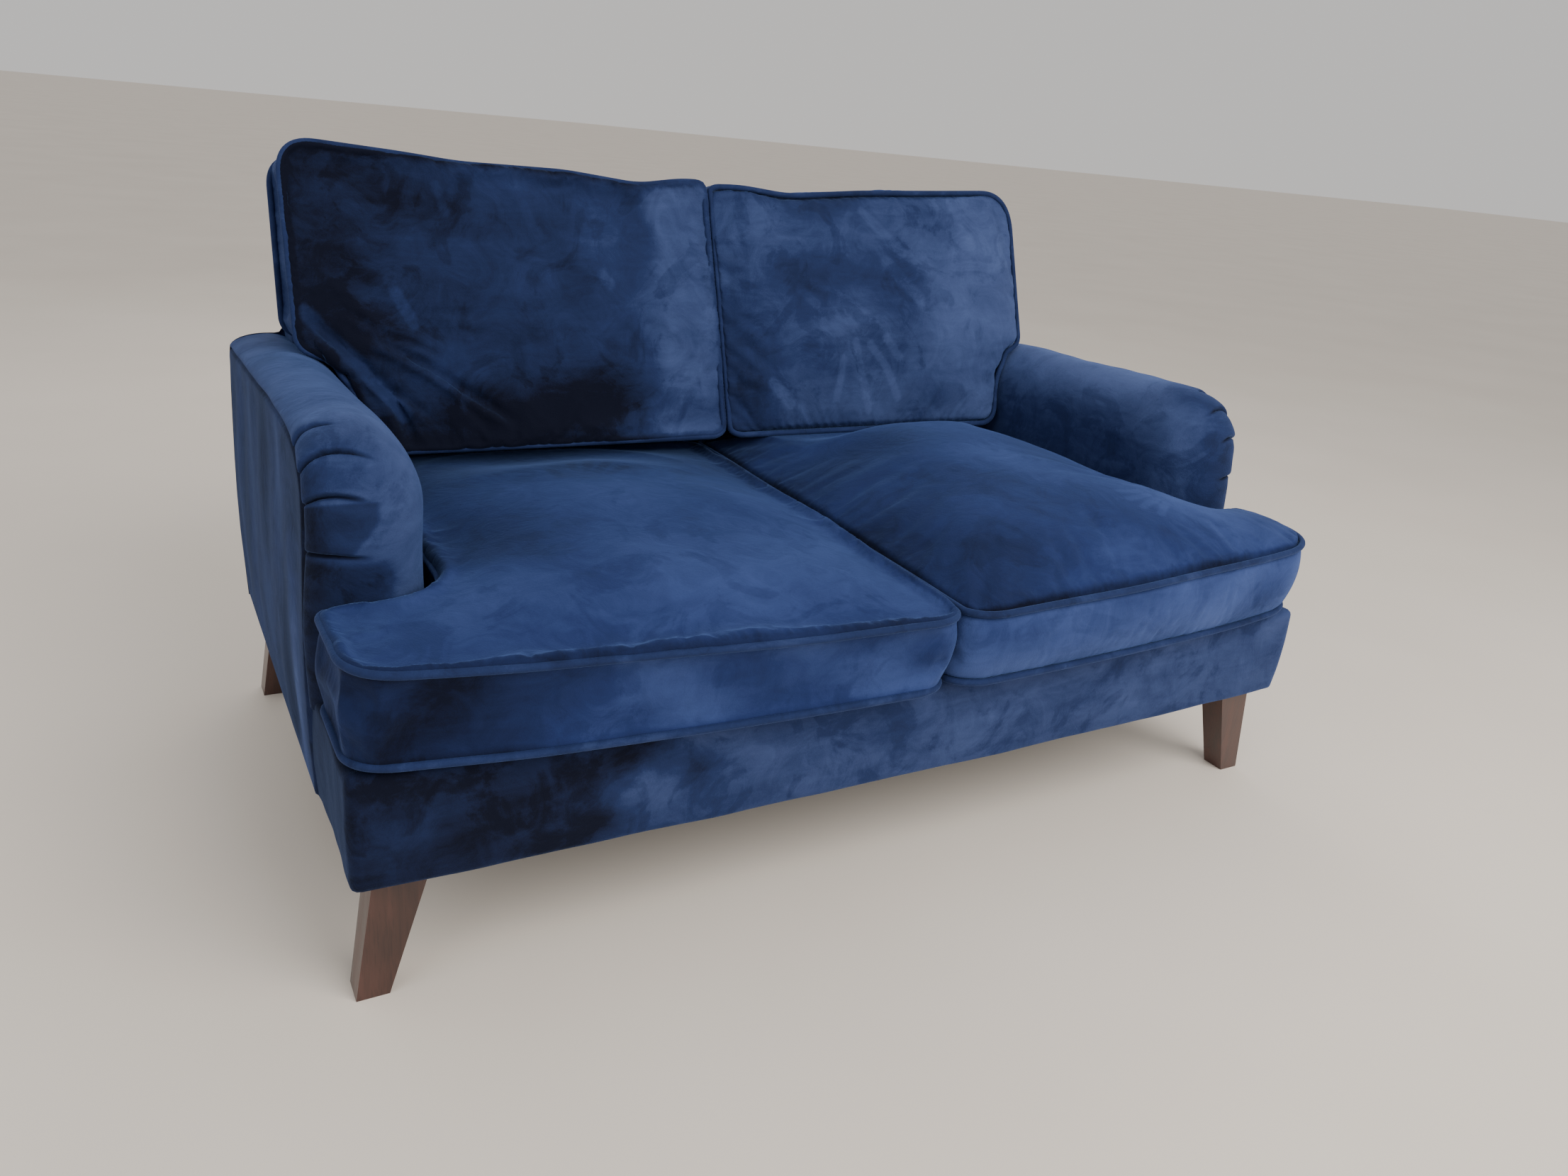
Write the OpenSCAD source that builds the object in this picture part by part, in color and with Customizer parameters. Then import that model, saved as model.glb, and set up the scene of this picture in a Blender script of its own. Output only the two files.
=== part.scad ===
// Two-seat sofa with low rolled arms, loose seat and back cushions and four tapered legs.
// Millimetres. +X to the right facing the front, front towards -Y, +Z up, floor at z = 0.

/* [Body] */
// Width across the two outer arm panels
body_w = 1440; // [1400:5:1600]
// Depth of the base, from the front border to the foot of the outer back
base_d = 840; // [820:5:900]
// Height of the underside of the base above the floor
base_z = 160; // [140:1:180]
// Height of the fixed back above the floor
back_z = 790; // [770:1:810]
// Rake of the outer back
outer_rake = 8; // [6:0.5:9]
// Recline of the fixed back's front
inner_rake = 13; // [12:0.5:14]

/* [Arms] */
// Width of one arm, outer panel to inner face
arm_w = 155; // [150:1:170]
// Height of the arm's crown above the floor
arm_z = 596; // [585:1:605]
// How far the arms stand back from the front border
arm_setback = 150; // [145:1:180]

/* [Cushions] */
// How far the seat cushions reach past the front border
overhang = 62; // [50:1:72]
// Height of a seat cushion's boxing
boxing_h = 116; // [100:1:118]
// Crown of a seat cushion above its top piping
seat_crown = 64; // [40:1:64]
// Height of the back cushions' top edge at the outer corners
cushion_z = 852; // [835:1:860]
// Diameter of the piping
piping_d = 9; // [7:0.5:10]

/* [Legs] */
// Side of a leg at the floor
leg_foot = 36; // [30:1:42]
// Width of a leg at the top
leg_top = 62; // [56:1:70]
// How far a leg's outer face leans out on the way down
leg_splay = 24; // [10:1:30]

/* [Hidden] */

// ---- shared positions -------------------------------------------------------
cloth = 2;                                  // thickness of the velvet with its lining
fit = 0.5;                                  // gap left between loose pieces
total_d = overhang + base_d + (back_z - base_z) * tan(outer_rake);
front_y = overhang - total_d / 2;           // plane of the front border
side_x = body_w / 2;                        // outer face of the arm panels
inner_x = side_x - arm_w;                   // inner face of an arm
panel_t = 15;                               // upholstered outer arm panel
return_x = side_x - 8;                      // outer face of the border's returns
timber_x = side_x - panel_t;                // outer face of the side rails
timber_t = 25;                              // thickness of the frame boards
timber_z = base_z + 1.5;                    // underside of the frame, above the dust cover
rail_top = 284;                             // top of the base rails
deck_z = 298;                               // top of the seat deck
rail_y = front_y + 15;                      // front face of the front rail
rail_t = 28;                                // thickness of the front rail
back_rail_y = front_y + base_d - 28;        // front face of the back rail
back_rail_t = 22;

// Front face of the fixed back, and the outer back, at height z
function back_face(z) = front_y + 735 + (z - 300) * tan(inner_rake);
function outer_face(z) = front_y + base_d + (z - base_z) * tan(outer_rake);

// ---- shape helpers ----------------------------------------------------------
function oval(cx, cy, rx, ry, a0, a1, n) =
    [for (i = [0 : n]) let (a = a0 + (a1 - a0) * i / n) [cx + rx * cos(a), cy + ry * sin(a)]];

function mirrored(points) = [for (i = [len(points) - 1 : -1 : 0]) [-points[i][0], points[i][1]]];

module box(x0, x1, y0, y1, z0, z1) {
    translate([x0, y0, z0])
        cube([x1 - x0, y1 - y0, z1 - z0]);
}

// A (y, z) outline drawn out along X
module side_prism(points, x0, x1) {
    translate([x0, 0, 0])
        rotate([90, 0, 90])
            linear_extrude(x1 - x0)
                polygon(points);
}

// An (x, z) outline drawn out along Y
module front_prism(points, y0, y1) {
    translate([0, y1, 0])
        rotate([90, 0, 0])
            linear_extrude(y1 - y0)
                polygon(points);
}

module left() {
    mirror([1, 0, 0])
        children();
}

module both() {
    children();
    left()
        children();
}

// A slab that follows the fixed back's front face, from depth a to depth b behind it
function back_slab(a, b, z0, z1) =
    [[back_face(z0) + a, z0], [back_face(z0) + b, z0], [back_face(z1) + b, z1], [back_face(z1) + a, z1]];

// Closed solid through a stack of rings that all have the same number of points
module loft(rings) {
    n = len(rings[0]);
    m = len(rings);
    points = [for (ring = rings) each ring];
    skin = [for (k = [0 : m - 2]) for (i = [0 : n - 1]) let (j = (i + 1) % n)
        each [[k * n + i, (k + 1) * n + j, k * n + j], [k * n + i, (k + 1) * n + i, (k + 1) * n + j]]];
    first = [for (i = [0 : n - 1]) i];
    last = [for (i = [n - 1 : -1 : 0]) (m - 1) * n + i];
    polyhedron(points, concat([first], skin, [last]), convexity = 6);
}

function unit(v) = v / norm(v);

// Round cord along a closed path that lies near the plane with the given normal
module cord(path, normal, radius, sides = 6) {
    n = len(path);
    rings = [for (i = [0 : n - 1])
        let (tangent = unit(path[(i + 1) % n] - path[(i + n - 1) % n]))
        let (across = unit(cross(tangent, normal)))
        let (up = cross(across, tangent))
        [for (s = [0 : sides - 1])
            path[i] + radius * (cos(360 * s / sides) * across + sin(360 * s / sides) * up)]];
    points = [for (ring = rings) each ring];
    faces = [for (i = [0 : n - 1]) for (s = [0 : sides - 1])
        let (a = i * sides + s, b = i * sides + (s + 1) % sides)
        let (c = ((i + 1) % n) * sides + s, d = ((i + 1) % n) * sides + (s + 1) % sides)
        each [[a, b, d], [a, d, c]]];
    polyhedron(points, faces, convexity = 10);
}

// ---- timber frame -----------------------------------------------------------
dowel_d = 8;
dowel_l = 36;
post_x = 598;                               // inner face of a back post
post_t = 28;
arm_post_y = front_y + arm_setback + 50;
arm_post_s = 45;
arm_rail_z = 505;
post_front = 32;                            // back posts' front face behind the fixed back's face
top_rail_z = 738;
tacking_z = 310;

module dowel(x, y, z, turn) {
    translate([x, y, z])
        rotate(turn)
            cylinder(d = dowel_d, h = dowel_l, center = true, $fn = 24);
}

// Dowels of the right half
module side_dowels() {
    along_x = [0, 90, 0];
    along_y = [90, 0, 0];
    for (z = [190, 225, 260]) {
        dowel(timber_x - timber_t / 2, rail_y + rail_t, z, along_y);
        dowel(timber_x - timber_t / 2, back_rail_y, z, along_y);
    }
    for (z = [195, 245])
        dowel(timber_x - timber_t, arm_post_y + arm_post_s / 2, z, along_x);
    for (z = [215, 255])
        dowel(post_x + post_t / 2, back_rail_y, z, along_y);
    dowel(timber_x - timber_t - arm_post_s / 2, arm_post_y + arm_post_s / 2, arm_rail_z, [0, 0, 0]);
    dowel(post_x + post_t, back_face(517) + 65, arm_rail_z + 12, along_x);
    dowel(post_x, back_face(757) + post_front + 13, 757, along_x);
    dowel(post_x, back_face(328) + post_front + 13, 328, along_x);
}

module frame_dowels() {
    color("burlywood") {
        both()
            side_dowels();
        for (z = [210, 245]) {
            dowel(0, rail_y + rail_t, z, [90, 0, 0]);
            dowel(0, back_rail_y, z, [90, 0, 0]);
        }
    }
}

module timber() {
    color("tan")
        difference() {
            children();
            frame_dowels();
        }
}

module front_rail() {
    timber()
        box(-timber_x, timber_x, rail_y, rail_y + rail_t, timber_z, rail_top);
}

module back_rail() {
    timber()
        box(-timber_x, timber_x, back_rail_y, back_rail_y + back_rail_t, timber_z, rail_top);
}

module side_rail() {
    timber()
        box(timber_x - timber_t, timber_x, rail_y + rail_t, back_rail_y, timber_z, rail_top);
}

module seat_stretcher() {
    timber()
        box(-15, 15, rail_y + rail_t, back_rail_y, 195, 262);
}

module arm_post() {
    x1 = timber_x - timber_t;
    timber()
        box(x1 - arm_post_s, x1, arm_post_y, arm_post_y + arm_post_s, timber_z + 3, arm_rail_z);
}

module arm_rail() {
    timber()
        box(post_x + post_t, timber_x - 15, arm_post_y, outer_face(arm_rail_z) - 12,
            arm_rail_z, arm_rail_z + timber_t);
}

module back_post() {
    low = 191.5;
    high = 765;
    lap = rail_top + 1;
    outline = [
        [back_face(low) + post_front, low],
        [back_rail_y, low],
        [back_rail_y, lap],
        [outer_face(lap) - 7, lap],
        [outer_face(high) - 7, high],
        [back_face(high) + post_front, high]];
    timber()
        side_prism(outline, post_x, post_x + post_t);
}

module cross_rail(z, h) {
    timber()
        side_prism(back_slab(post_front, post_front + 26, z, z + h), -post_x, post_x);
}

module top_rail() {
    cross_rail(top_rail_z, 776 - top_rail_z);
}

module tacking_rail() {
    cross_rail(tacking_z, 36);
}

// ---- legs and what holds them ----------------------------------------------
leg_x = side_x - 10;                        // outer edge of a foot
leg_y = front_y + 27;                       // front face of the front legs
rear_leg_y = front_y + base_d - 12;         // rear face of the rear legs
leg_depth_top = 44;
bolt_x = leg_x - leg_splay - leg_top / 2;
bolt_in = 28;                               // bolt behind the leg's plumb face
bolt_d = 8;
block_t = 28;
block_side = 110;

module at_bolts() {
    both() {
        translate([bolt_x, leg_y + bolt_in, 0])
            children();
        translate([bolt_x, rear_leg_y - bolt_in, 0])
            children();
    }
}

// Leg of the right side; "plumb" is its upright face and "dir" points from it into the leg
module leg(plumb, dir) {
    front_view = [
        [leg_x - leg_foot, 0],
        [leg_x, 0],
        [leg_x - leg_splay, timber_z],
        [leg_x - leg_splay - leg_top, timber_z]];
    side_view = [
        [plumb, 0],
        [plumb + dir * leg_foot, 0],
        [plumb + dir * leg_depth_top, timber_z],
        [plumb, timber_z]];
    color("saddlebrown")
        difference() {
            intersection() {
                front_prism(front_view, plumb - 60, plumb + 60);
                side_prism(side_view, leg_x - 120, leg_x + 20);
            }
            translate([bolt_x, plumb + dir * bolt_in, timber_z - 34])
                cylinder(d = bolt_d + 0.1, h = 40, $fn = 32);
        }
}

module leg_front() {
    leg(leg_y, 1);
}

module leg_rear() {
    leg(rear_leg_y, -1);
}

module leg_bolts() {
    color("silver")
        at_bolts()
            translate([0, 0, timber_z - 33])
                cylinder(d = bolt_d, h = 33 + block_t + 4, $fn = 32);
}

module leg_nuts() {
    color("silver")
        at_bolts()
            difference() {
                union() {
                    translate([0, 0, timber_z + block_t - 10])
                        cylinder(d = 10.5, h = 10, $fn = 32);
                    translate([0, 0, timber_z + block_t])
                        cylinder(d = 22, h = 1.5, $fn = 32);
                }
                cylinder(d = bolt_d + 0.1, h = 300, $fn = 32);
            }
}

module corner_block(corner_y, dir) {
    x = timber_x - timber_t;
    plan = [[x, corner_y], [x - block_side, corner_y], [x, corner_y + dir * block_side]];
    translate([0, 0, timber_z])
        linear_extrude(block_t)
            polygon(plan);
}

module corner_blocks() {
    color("tan")
        difference() {
            both() {
                corner_block(rail_y + rail_t, 1);
                corner_block(back_rail_y, -1);
            }
            at_bolts() {
                cylinder(d = bolt_d + 0.6, h = 300, $fn = 32);
                translate([0, 0, timber_z + block_t - 10.2])
                    cylinder(d = 10.6, h = 20, $fn = 32);
            }
        }
}

// ---- seat suspension and the base's covers ---------------------------------
springs = 4;                                // sinuous springs under each seat
wire = 3.8;
spring_z = rail_top + 0.5;
bends = 17;
bar_w = 34;

function spring_x(i) = (i + 0.5) * (inner_x - 25) / springs;

// Centre line of one sinuous spring, from the front rail to the back rail
function spring_path(y0, pitch) = [for (i = [0 : bends]) let (s = i % 2 == 0 ? 1 : -1)
    each concat([[-s * bar_w / 2, y0 + i * pitch]],
                i == bends ? [[s * bar_w / 2, y0 + i * pitch]] :
                [for (a = [-90 : 45 : 45])
                    [s * (bar_w / 2 + pitch / 2 * cos(a)), y0 + i * pitch + pitch / 2 * (1 + sin(a))]])];

// The same line moved sideways, to one side for positive d
function shifted(path, d) = [for (i = [0 : len(path) - 1])
    let (a = path[max(i - 1, 0)], b = path[min(i + 1, len(path) - 1)])
    let (t = (b - a) / norm(b - a))
    path[i] + d * [-t[1], t[0]]];

module spring(x) {
    y0 = rail_y + rail_t - 12;
    y1 = back_rail_y + 12;
    path = spring_path(y0, (y1 - y0) / bends);
    near = shifted(path, wire / 2);
    far = shifted(path, -wire / 2);
    translate([x, 0, spring_z])
        linear_extrude(wire)
            polygon(concat(near, [for (i = [len(far) - 1 : -1 : 0]) far[i]]));
}

module seat_springs() {
    color("dimgray")
        both()
            for (i = [0 : springs - 1])
                spring(spring_x(i));
}

module clip(x, y) {
    box(x - 9, x + 9, y, y + 9, spring_z + wire, spring_z + wire + 1.2);
}

module spring_clips() {
    color("silver")
        both()
            for (i = [0 : springs - 1]) {
                clip(spring_x(i), rail_y + rail_t - 17);
                clip(spring_x(i), back_rail_y + 8);
            }
}

// Plan of the deck: the full width in front of the arms, then between the arms
function deck_plan(inset) = let (x0 = return_x - cloth - inset, x1 = inner_x - 2 - inset,
                                 y0 = front_y + cloth + inset, y1 = front_y + arm_setback - 2,
                                 y2 = back_face(deck_z) - 3 - inset)
    [[-x0, y0], [x0, y0], [x0, y1], [x1, y1], [x1, y2], [-x1, y2], [-x1, y1], [-x0, y1]];

module spring_pad() {
    color("gainsboro")
        translate([0, 0, spring_z + wire + 1.5])
            linear_extrude(6)
                polygon(deck_plan(6));
}

module seat_deck() {
    low = spring_z + wire + 7.5;
    color("midnightblue")
        translate([0, 0, low])
            linear_extrude(deck_z - low)
                polygon(deck_plan(0));
}

module dust_cover() {
    color("black")
        difference() {
            box(-timber_x, timber_x, rail_y, back_rail_y + back_rail_t, base_z, timber_z - 0.1);
            both() {
                box(leg_x - leg_splay - leg_top - 3, timber_x + 1, rail_y - 1,
                    leg_y + leg_depth_top + 3, base_z - 1, timber_z);
                box(leg_x - leg_splay - leg_top - 3, timber_x + 1, rear_leg_y - leg_depth_top - 3,
                    rear_leg_y + 30, base_z - 1, timber_z);
            }
        }
}

border_end = front_y + arm_setback + 40;    // where the border's returns meet the arm panels

module border_padding() {
    color("beige") {
        box(-return_x + cloth, return_x - cloth, front_y + cloth, rail_y, base_z + 1, spring_z + wire + 1);
        both()
            box(timber_x + 0.2, return_x - cloth, rail_y + 0.3, border_end, base_z + 1, spring_z + wire + 1);
    }
}

module border_cover() {
    color("royalblue") {
        difference() {
            box(-return_x, return_x, front_y, border_end, base_z, deck_z);
            box(-return_x + cloth, return_x - cloth, front_y + cloth, border_end + 1, base_z - 1, deck_z + 1);
        }
    }
}

// ---- arms -------------------------------------------------------------------
crown_x = side_x - 65;                      // crown line of the arm
roll_z = 490;                               // height where the inner roll starts
seam_z = 556;                               // height of the seam with the outer panel
arm_low = rail_top + 0.5;
arm_front = front_y + arm_setback;
front_r = 100;                              // radius of the arm's top front corner

// Cross-section of the right arm
function arm_section(inset, low) = concat(
    [[side_x + 1, low], [side_x + 1, seam_z]],
    oval(crown_x, seam_z, side_x - crown_x, arm_z - seam_z - inset, 0, 90, 8),
    oval(crown_x, roll_z, crown_x - inner_x - inset, arm_z - roll_z - inset, 97, 180, 10),
    [[inner_x + inset, low]]);

// Side view of the arm, down to the given height
function arm_side(inset, low) = concat(
    [[arm_front + inset, low]],
    oval(arm_front + front_r, arm_z - front_r, front_r - inset, front_r - inset, 180, 90, 10),
    [[outer_face(arm_z) - 6, arm_z - inset], [outer_face(low) - 6, low]]);

// Plan of the arm, bulging forwards between the outer seam and the inner face
function arm_plan(inset) = concat(
    [[inner_x + inset, outer_face(arm_z)]],
    oval(crown_x - 15, arm_front + 90, crown_x - 15 - inner_x - inset, 90 - inset, 180, 270, 8),
    oval(crown_x - 15, arm_front + 40, side_x - crown_x + 15, 40 - inset, 278, 360, 6),
    [[side_x + 1, outer_face(arm_z)]]);

module arm_solid(inset) {
    intersection() {
        front_prism(arm_section(inset, arm_low), arm_front - 5, outer_face(arm_z));
        side_prism(arm_side(inset, arm_low), inner_x - 5, timber_x - 0.2);
        translate([0, 0, arm_low - 1])
            linear_extrude(arm_z - arm_low + 5)
                polygon(arm_plan(inset));
    }
}

// Room in the arm for the back post and what spans between the posts
module back_passage() {
    side_prism(back_slab(post_front - 4, 300, arm_low - 5, arm_z + 5), inner_x - 5, post_x + post_t + 0.3);
}

module arm_padding() {
    color("beige")
        difference() {
            arm_solid(cloth + 0.1);
            box(timber_x - timber_t - arm_post_s, timber_x - timber_t, arm_post_y,
                arm_post_y + arm_post_s, arm_low - 1, arm_rail_z);
            box(post_x + post_t, timber_x - 15, arm_post_y, outer_face(arm_z), arm_rail_z, arm_rail_z + timber_t);
            back_passage();
            box(0, timber_x, outer_face(arm_z) - 8.3, outer_face(arm_z) + 1, 0, arm_z);
        }
}

module arm_cover() {
    color("royalblue")
        difference() {
            arm_solid(0);
            difference() {
                arm_solid(cloth);
                box(0, timber_x, outer_face(arm_z) - 8, outer_face(arm_z), 0, arm_z);
            }
            box(post_x + post_t, timber_x - 15, arm_post_y, outer_face(arm_z), arm_rail_z, arm_rail_z + timber_t);
            box(inner_x + cloth, timber_x + 1, arm_front + 40, outer_face(arm_z) + 1, arm_low - 1, arm_low + cloth);
            box(inner_x + cloth, timber_x + 1, outer_face(arm_low) - 70, outer_face(arm_z) + 1,
                arm_low - 1, arm_z - 40);
            back_passage();
        }
}

// Flat upholstered panel that closes the outside of the arm and base
module outer_arm() {
    corner_r = 65;
    top = arm_z + 5;
    outline = concat(
        [[border_end, base_z]],
        oval(border_end + corner_r, arm_z - corner_r, corner_r, corner_r, 180, 90, 8),
        [[outer_face(top) - 6, top], [outer_face(base_z) - 6, base_z]]);
    color("royalblue")
        intersection() {
            side_prism(outline, timber_x, side_x);
            front_prism(arm_section(0, base_z), border_end - 1, outer_face(top));
        }
}

// ---- fixed back -------------------------------------------------------------
back_half_w = 630;
shoulder_r = 30;

// Right half of the fixed back's front view, clear of the arm by "gap"
function back_half(inset, gap) = concat(
    [[inner_x - gap - inset, deck_z + 1]],
    oval(crown_x, roll_z, crown_x - inner_x + gap + inset, arm_z - roll_z + gap + inset, 180, 108, 8),
    [[back_half_w - inset, arm_z + gap + 6 + inset]],
    oval(back_half_w - shoulder_r, back_z - shoulder_r, shoulder_r - inset, shoulder_r - inset, 0, 90, 6));

function back_outline(inset, gap) = let (half = back_half(inset, gap)) concat(half, mirrored(half));

module back_padding() {
    pad_t = 27.5;
    cap_z = 777;
    outline = [
        [back_face(deck_z) + cloth + 0.1, deck_z],
        [back_face(back_z) + cloth + 0.1, back_z],
        [outer_face(back_z) - 7, back_z],
        [outer_face(cap_z) - 7, cap_z],
        [back_face(cap_z) + pad_t, cap_z],
        [back_face(deck_z) + pad_t, deck_z]];
    color("beige")
        intersection() {
            front_prism(back_outline(cloth + 0.1, 1), back_face(0), outer_face(back_z));
            side_prism(outline, -back_half_w, back_half_w);
        }
}

module back_cover() {
    outer = [
        [back_face(deck_z), deck_z],
        [back_face(back_z), back_z],
        [outer_face(back_z) - 6, back_z],
        [outer_face(deck_z) - 6, deck_z]];
    inner = [
        [back_face(deck_z - 20) + cloth, deck_z - 20],
        [back_face(back_z) + cloth, back_z],
        [outer_face(back_z) + 20, back_z],
        [outer_face(deck_z) + 20, deck_z - 20]];
    color("royalblue")
        difference() {
            intersection() {
                front_prism(back_outline(0, 1), back_face(0), outer_face(back_z));
                side_prism(outer, -back_half_w, back_half_w);
            }
            intersection() {
                front_prism(back_outline(cloth, 1), back_face(0), outer_face(back_z) + 30);
                side_prism(inner, -back_half_w, back_half_w);
            }
            side_prism(back_slab(25, 200, deck_z - 30, arm_z + 20), -back_half_w, back_half_w);
        }
}

module back_webbing() {
    strap_h = 55;
    color("black")
        for (z = [370 : 80 : 690])
            side_prism(back_slab(post_front - 3.5, post_front - 0.3, z, z + strap_h),
                       -post_x - 18, post_x + 18);
}

module outer_back() {
    t = 5;
    outline = [
        [outer_face(base_z) - t, base_z],
        [outer_face(base_z), base_z],
        [outer_face(back_z), back_z],
        [outer_face(back_z) - t, back_z]];
    color("royalblue")
        intersection() {
            union() {
                front_prism(back_outline(0, -3), back_rail_y, outer_face(back_z) + 1);
                both()
                    front_prism(arm_section(0, base_z), back_rail_y, outer_face(back_z) + 1);
                box(-inner_x - 1, inner_x + 1, back_rail_y, outer_face(back_z), base_z, deck_z + 2);
            }
            side_prism(outline, -side_x, side_x);
        }
}

// ---- seat cushions ----------------------------------------------------------
seat_low = deck_z + fit;                    // underside of a seat cushion
seat_edge_z = seat_low + boxing_h;          // its top piping
seat_rear = front_y + 728;
ear_x = side_x - 12;                        // outer side of the ear in front of the arm
ear_rear = arm_front - 2;
bow = 42;                                   // how far the front bows from ear to middle
corner_r = 42;                              // front corners in plan
seat_corner = 21;                           // rear corners in plan

// Front edge of the two cushions at x
function seat_front(x) = front_y - overhang + bow * pow(x / 670, 2);

// Plan of the right cushion, moved in by "inset", with its ear in front of the arm
function seat_plan(inset) = let (
        x0 = fit + inset,
        x1 = inner_x - fit - inset,
        x2 = ear_x - inset,
        y1 = ear_rear - inset,
        y2 = seat_rear - inset,
        r = corner_r - inset / 2,
        q = seat_corner - inset / 2)
    concat(
        oval(x0 + r, seat_front(x0 + r) + inset + r, r, r, 180, 270, 5),
        [for (i = [1 : 6]) let (x = x0 + r + (x2 - x0 - 2 * r) * i / 7) [x, seat_front(x) + inset]],
        oval(x2 - r, seat_front(x2 - r) + inset + r, r, r, 270, 360, 5),
        oval(x2 - q, y1 - q, q, q, 0, 90, 3),
        [[x1, y1]],
        oval(x1 - q, y2 - q, q, q, 0, 90, 3),
        oval(x0 + q, y2 - q, q, q, 90, 180, 3));

function raised(plan, z) = [for (p = plan) [p[0], p[1], z]];

// A plan drawn in towards its middle by the share "t"
function drawn_in(plan, t) = let (
        xs = [for (p = plan) p[0]],
        ys = [for (p = plan) p[1]],
        middle = [min(xs) + max(xs), min(ys) + max(ys)] / 2)
    [for (p = plan) p + (middle - p) * t];

// The block behind the arm's front, without the ear: its dome starts from this plan
function seat_block(inset) = let (
        x0 = fit + inset,
        x1 = inner_x - fit - inset,
        y2 = seat_rear - inset,
        r = corner_r - inset / 2,
        q = seat_corner - inset / 2,
        wall_low = seat_front(x1 - r) + inset + r,
        wall_high = ear_rear - inset - seat_corner * 1.5,
        steps = len(oval(0, 0, q, q, 0, 90, 3)) + 1)
    concat(
        oval(x0 + r, seat_front(x0 + r) + inset + r, r, r, 180, 270, 5),
        [for (i = [1 : 6]) let (x = x0 + r + (x1 - x0 - 2 * r) * i / 7) [x, seat_front(x) + inset]],
        oval(x1 - r, wall_low, r, r, 270, 360, 5),
        [for (i = [1 : steps]) [x1, wall_low + (wall_high - wall_low) * i / steps]],
        oval(x1 - q, y2 - q, q, q, 0, 90, 3),
        oval(x0 + q, y2 - q, q, q, 90, 180, 3));

// The cushion's outside for skin = 0, the inside of its cover for skin = cloth
module seat_solid(skin) {
    inset = piping_d + skin;
    loft(concat(
        [raised(seat_plan(inset + 4), seat_low + skin),
         raised(seat_plan(inset), seat_low + skin + 4),
         raised(seat_plan(inset), seat_edge_z - skin)],
        [for (t = [0.06, 0.16, 0.3, 0.46, 0.64, 0.8])
            raised(drawn_in(seat_block(inset), t),
                   seat_edge_z - skin + seat_crown * (1 - pow(1 - t, 2)))]));
}

module seat_core() {
    color("beige")
        seat_solid(cloth + 0.4);
}

// Its zip closes the slot in the rear of the boxing
module seat_cover() {
    y = seat_rear - piping_d;
    color("royalblue")
        difference() {
            seat_solid(0);
            seat_solid(cloth);
            box(inner_x * 0.2 + 5, inner_x * 0.8 - 5, y - cloth - 1, y + 1, seat_low + 56, seat_low + 62);
        }
}

module seat_piping(z) {
    color("navy")
        cord(raised(seat_plan(piping_d / 2), z), [0, 0, 1], piping_d / 2 - 0.1);
}

module seat_piping_top() {
    seat_piping(seat_edge_z - piping_d / 2);
}

module seat_piping_bottom() {
    seat_piping(seat_low + piping_d / 2);
}

module seat_zip() {
    y = seat_rear - piping_d;
    color("dimgray")
        box(inner_x * 0.2, inner_x * 0.8, y + 0.1, y + 2, seat_low + 50, seat_low + 68);
}

// ---- back cushions ----------------------------------------------------------
recline = 20;                               // recline of the cushions' front
cushion_w = 635;                            // outer side of a back cushion above the arm
cushion_low = seat_low + 154.5;             // front bottom edge
back_crown = 36;
centre = [300, 640];                        // middle of the cushion's front view
face_n = [0, -cos(recline), sin(recline)];
gusset_drop = 28;                           // how far the top gusset falls to the rear

function cushion_top(x) = cushion_z - 26 * (1 - pow(x / 600, 2));

// Front view of the right back cushion
function cushion_outline(inset) = let (q = 25, r = 50, s = 18, x0 = fit + inset, z0 = cushion_low + inset)
    concat(
        oval(x0 + q, z0 + q, q, q, 180, 270, 3),
        oval(inner_x - 2 - inset - q, z0 + q, q, q, 270, 350, 3),
        oval(crown_x, roll_z, crown_x - inner_x + 2 + inset, arm_z - roll_z + 2 + inset, 178, 118, 6),
        oval(cushion_w - 35, arm_z + 42, 35 - inset, 35 - inset, -50, 0, 3),
        oval(cushion_w - 8 - r, cushion_z - r, r - inset, r - inset, 0, 80, 5),
        [for (x = [500 : -110 : 60]) [x, cushion_top(x) - inset]],
        oval(x0 + s, cushion_top(0) - inset - s, s, s, 90, 180, 3));

function shrunk(outline, s) = [for (p = outline) centre + s * (p - centre)];

// Point of the cushion's front plane at (x, z)
function on_face(p) = [p[0], front_y + 600 + (p[1] - 440) * tan(recline), p[1]];

// Where the same outline point meets the rear plane, which leans on the fixed back
function on_rear(p) = let (z = p[1] - gusset_drop * max(0, (p[1] - arm_z - 24) / (cushion_z - arm_z - 24)))
    [p[0], back_face(z) - 1.5, z];

// Seam line of the given outline, moved from plane to plane by "depth"
function front_seam(p, depth) = on_face(p) + depth * unit(on_rear(p) - on_face(p));
function rear_seam(p, depth) = on_rear(p) + depth * unit(on_face(p) - on_rear(p));

module back_solid(skin) {
    outline = cushion_outline(piping_d + skin);
    loft(concat(
        [[for (p = outline) on_rear(p) - [0, skin, 0]],
         [for (p = outline) on_face(p) + [0, skin, 0]]],
        [for (s = [0.94, 0.82, 0.64, 0.42, 0.2])
            [for (p = shrunk(outline, s)) on_face(p) + [0, skin, 0] + back_crown * (1 - s * s) * face_n]]));
}

module back_core() {
    color("beige")
        back_solid(cloth + 0.1);
}

module cushion_cover() {
    color("royalblue")
        difference() {
            back_solid(0);
            back_solid(cloth);
        }
}

module back_piping_front() {
    color("navy")
        cord([for (p = cushion_outline(piping_d / 2)) front_seam(p, piping_d / 2)],
             face_n, piping_d / 2 - 0.4);
}

module back_piping_rear() {
    color("navy")
        cord([for (p = cushion_outline(piping_d / 2)) rear_seam(p, piping_d / 2 + 0.5)],
             [0, -cos(inner_rake), sin(inner_rake)], piping_d / 2 - 0.4);
}

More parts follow.
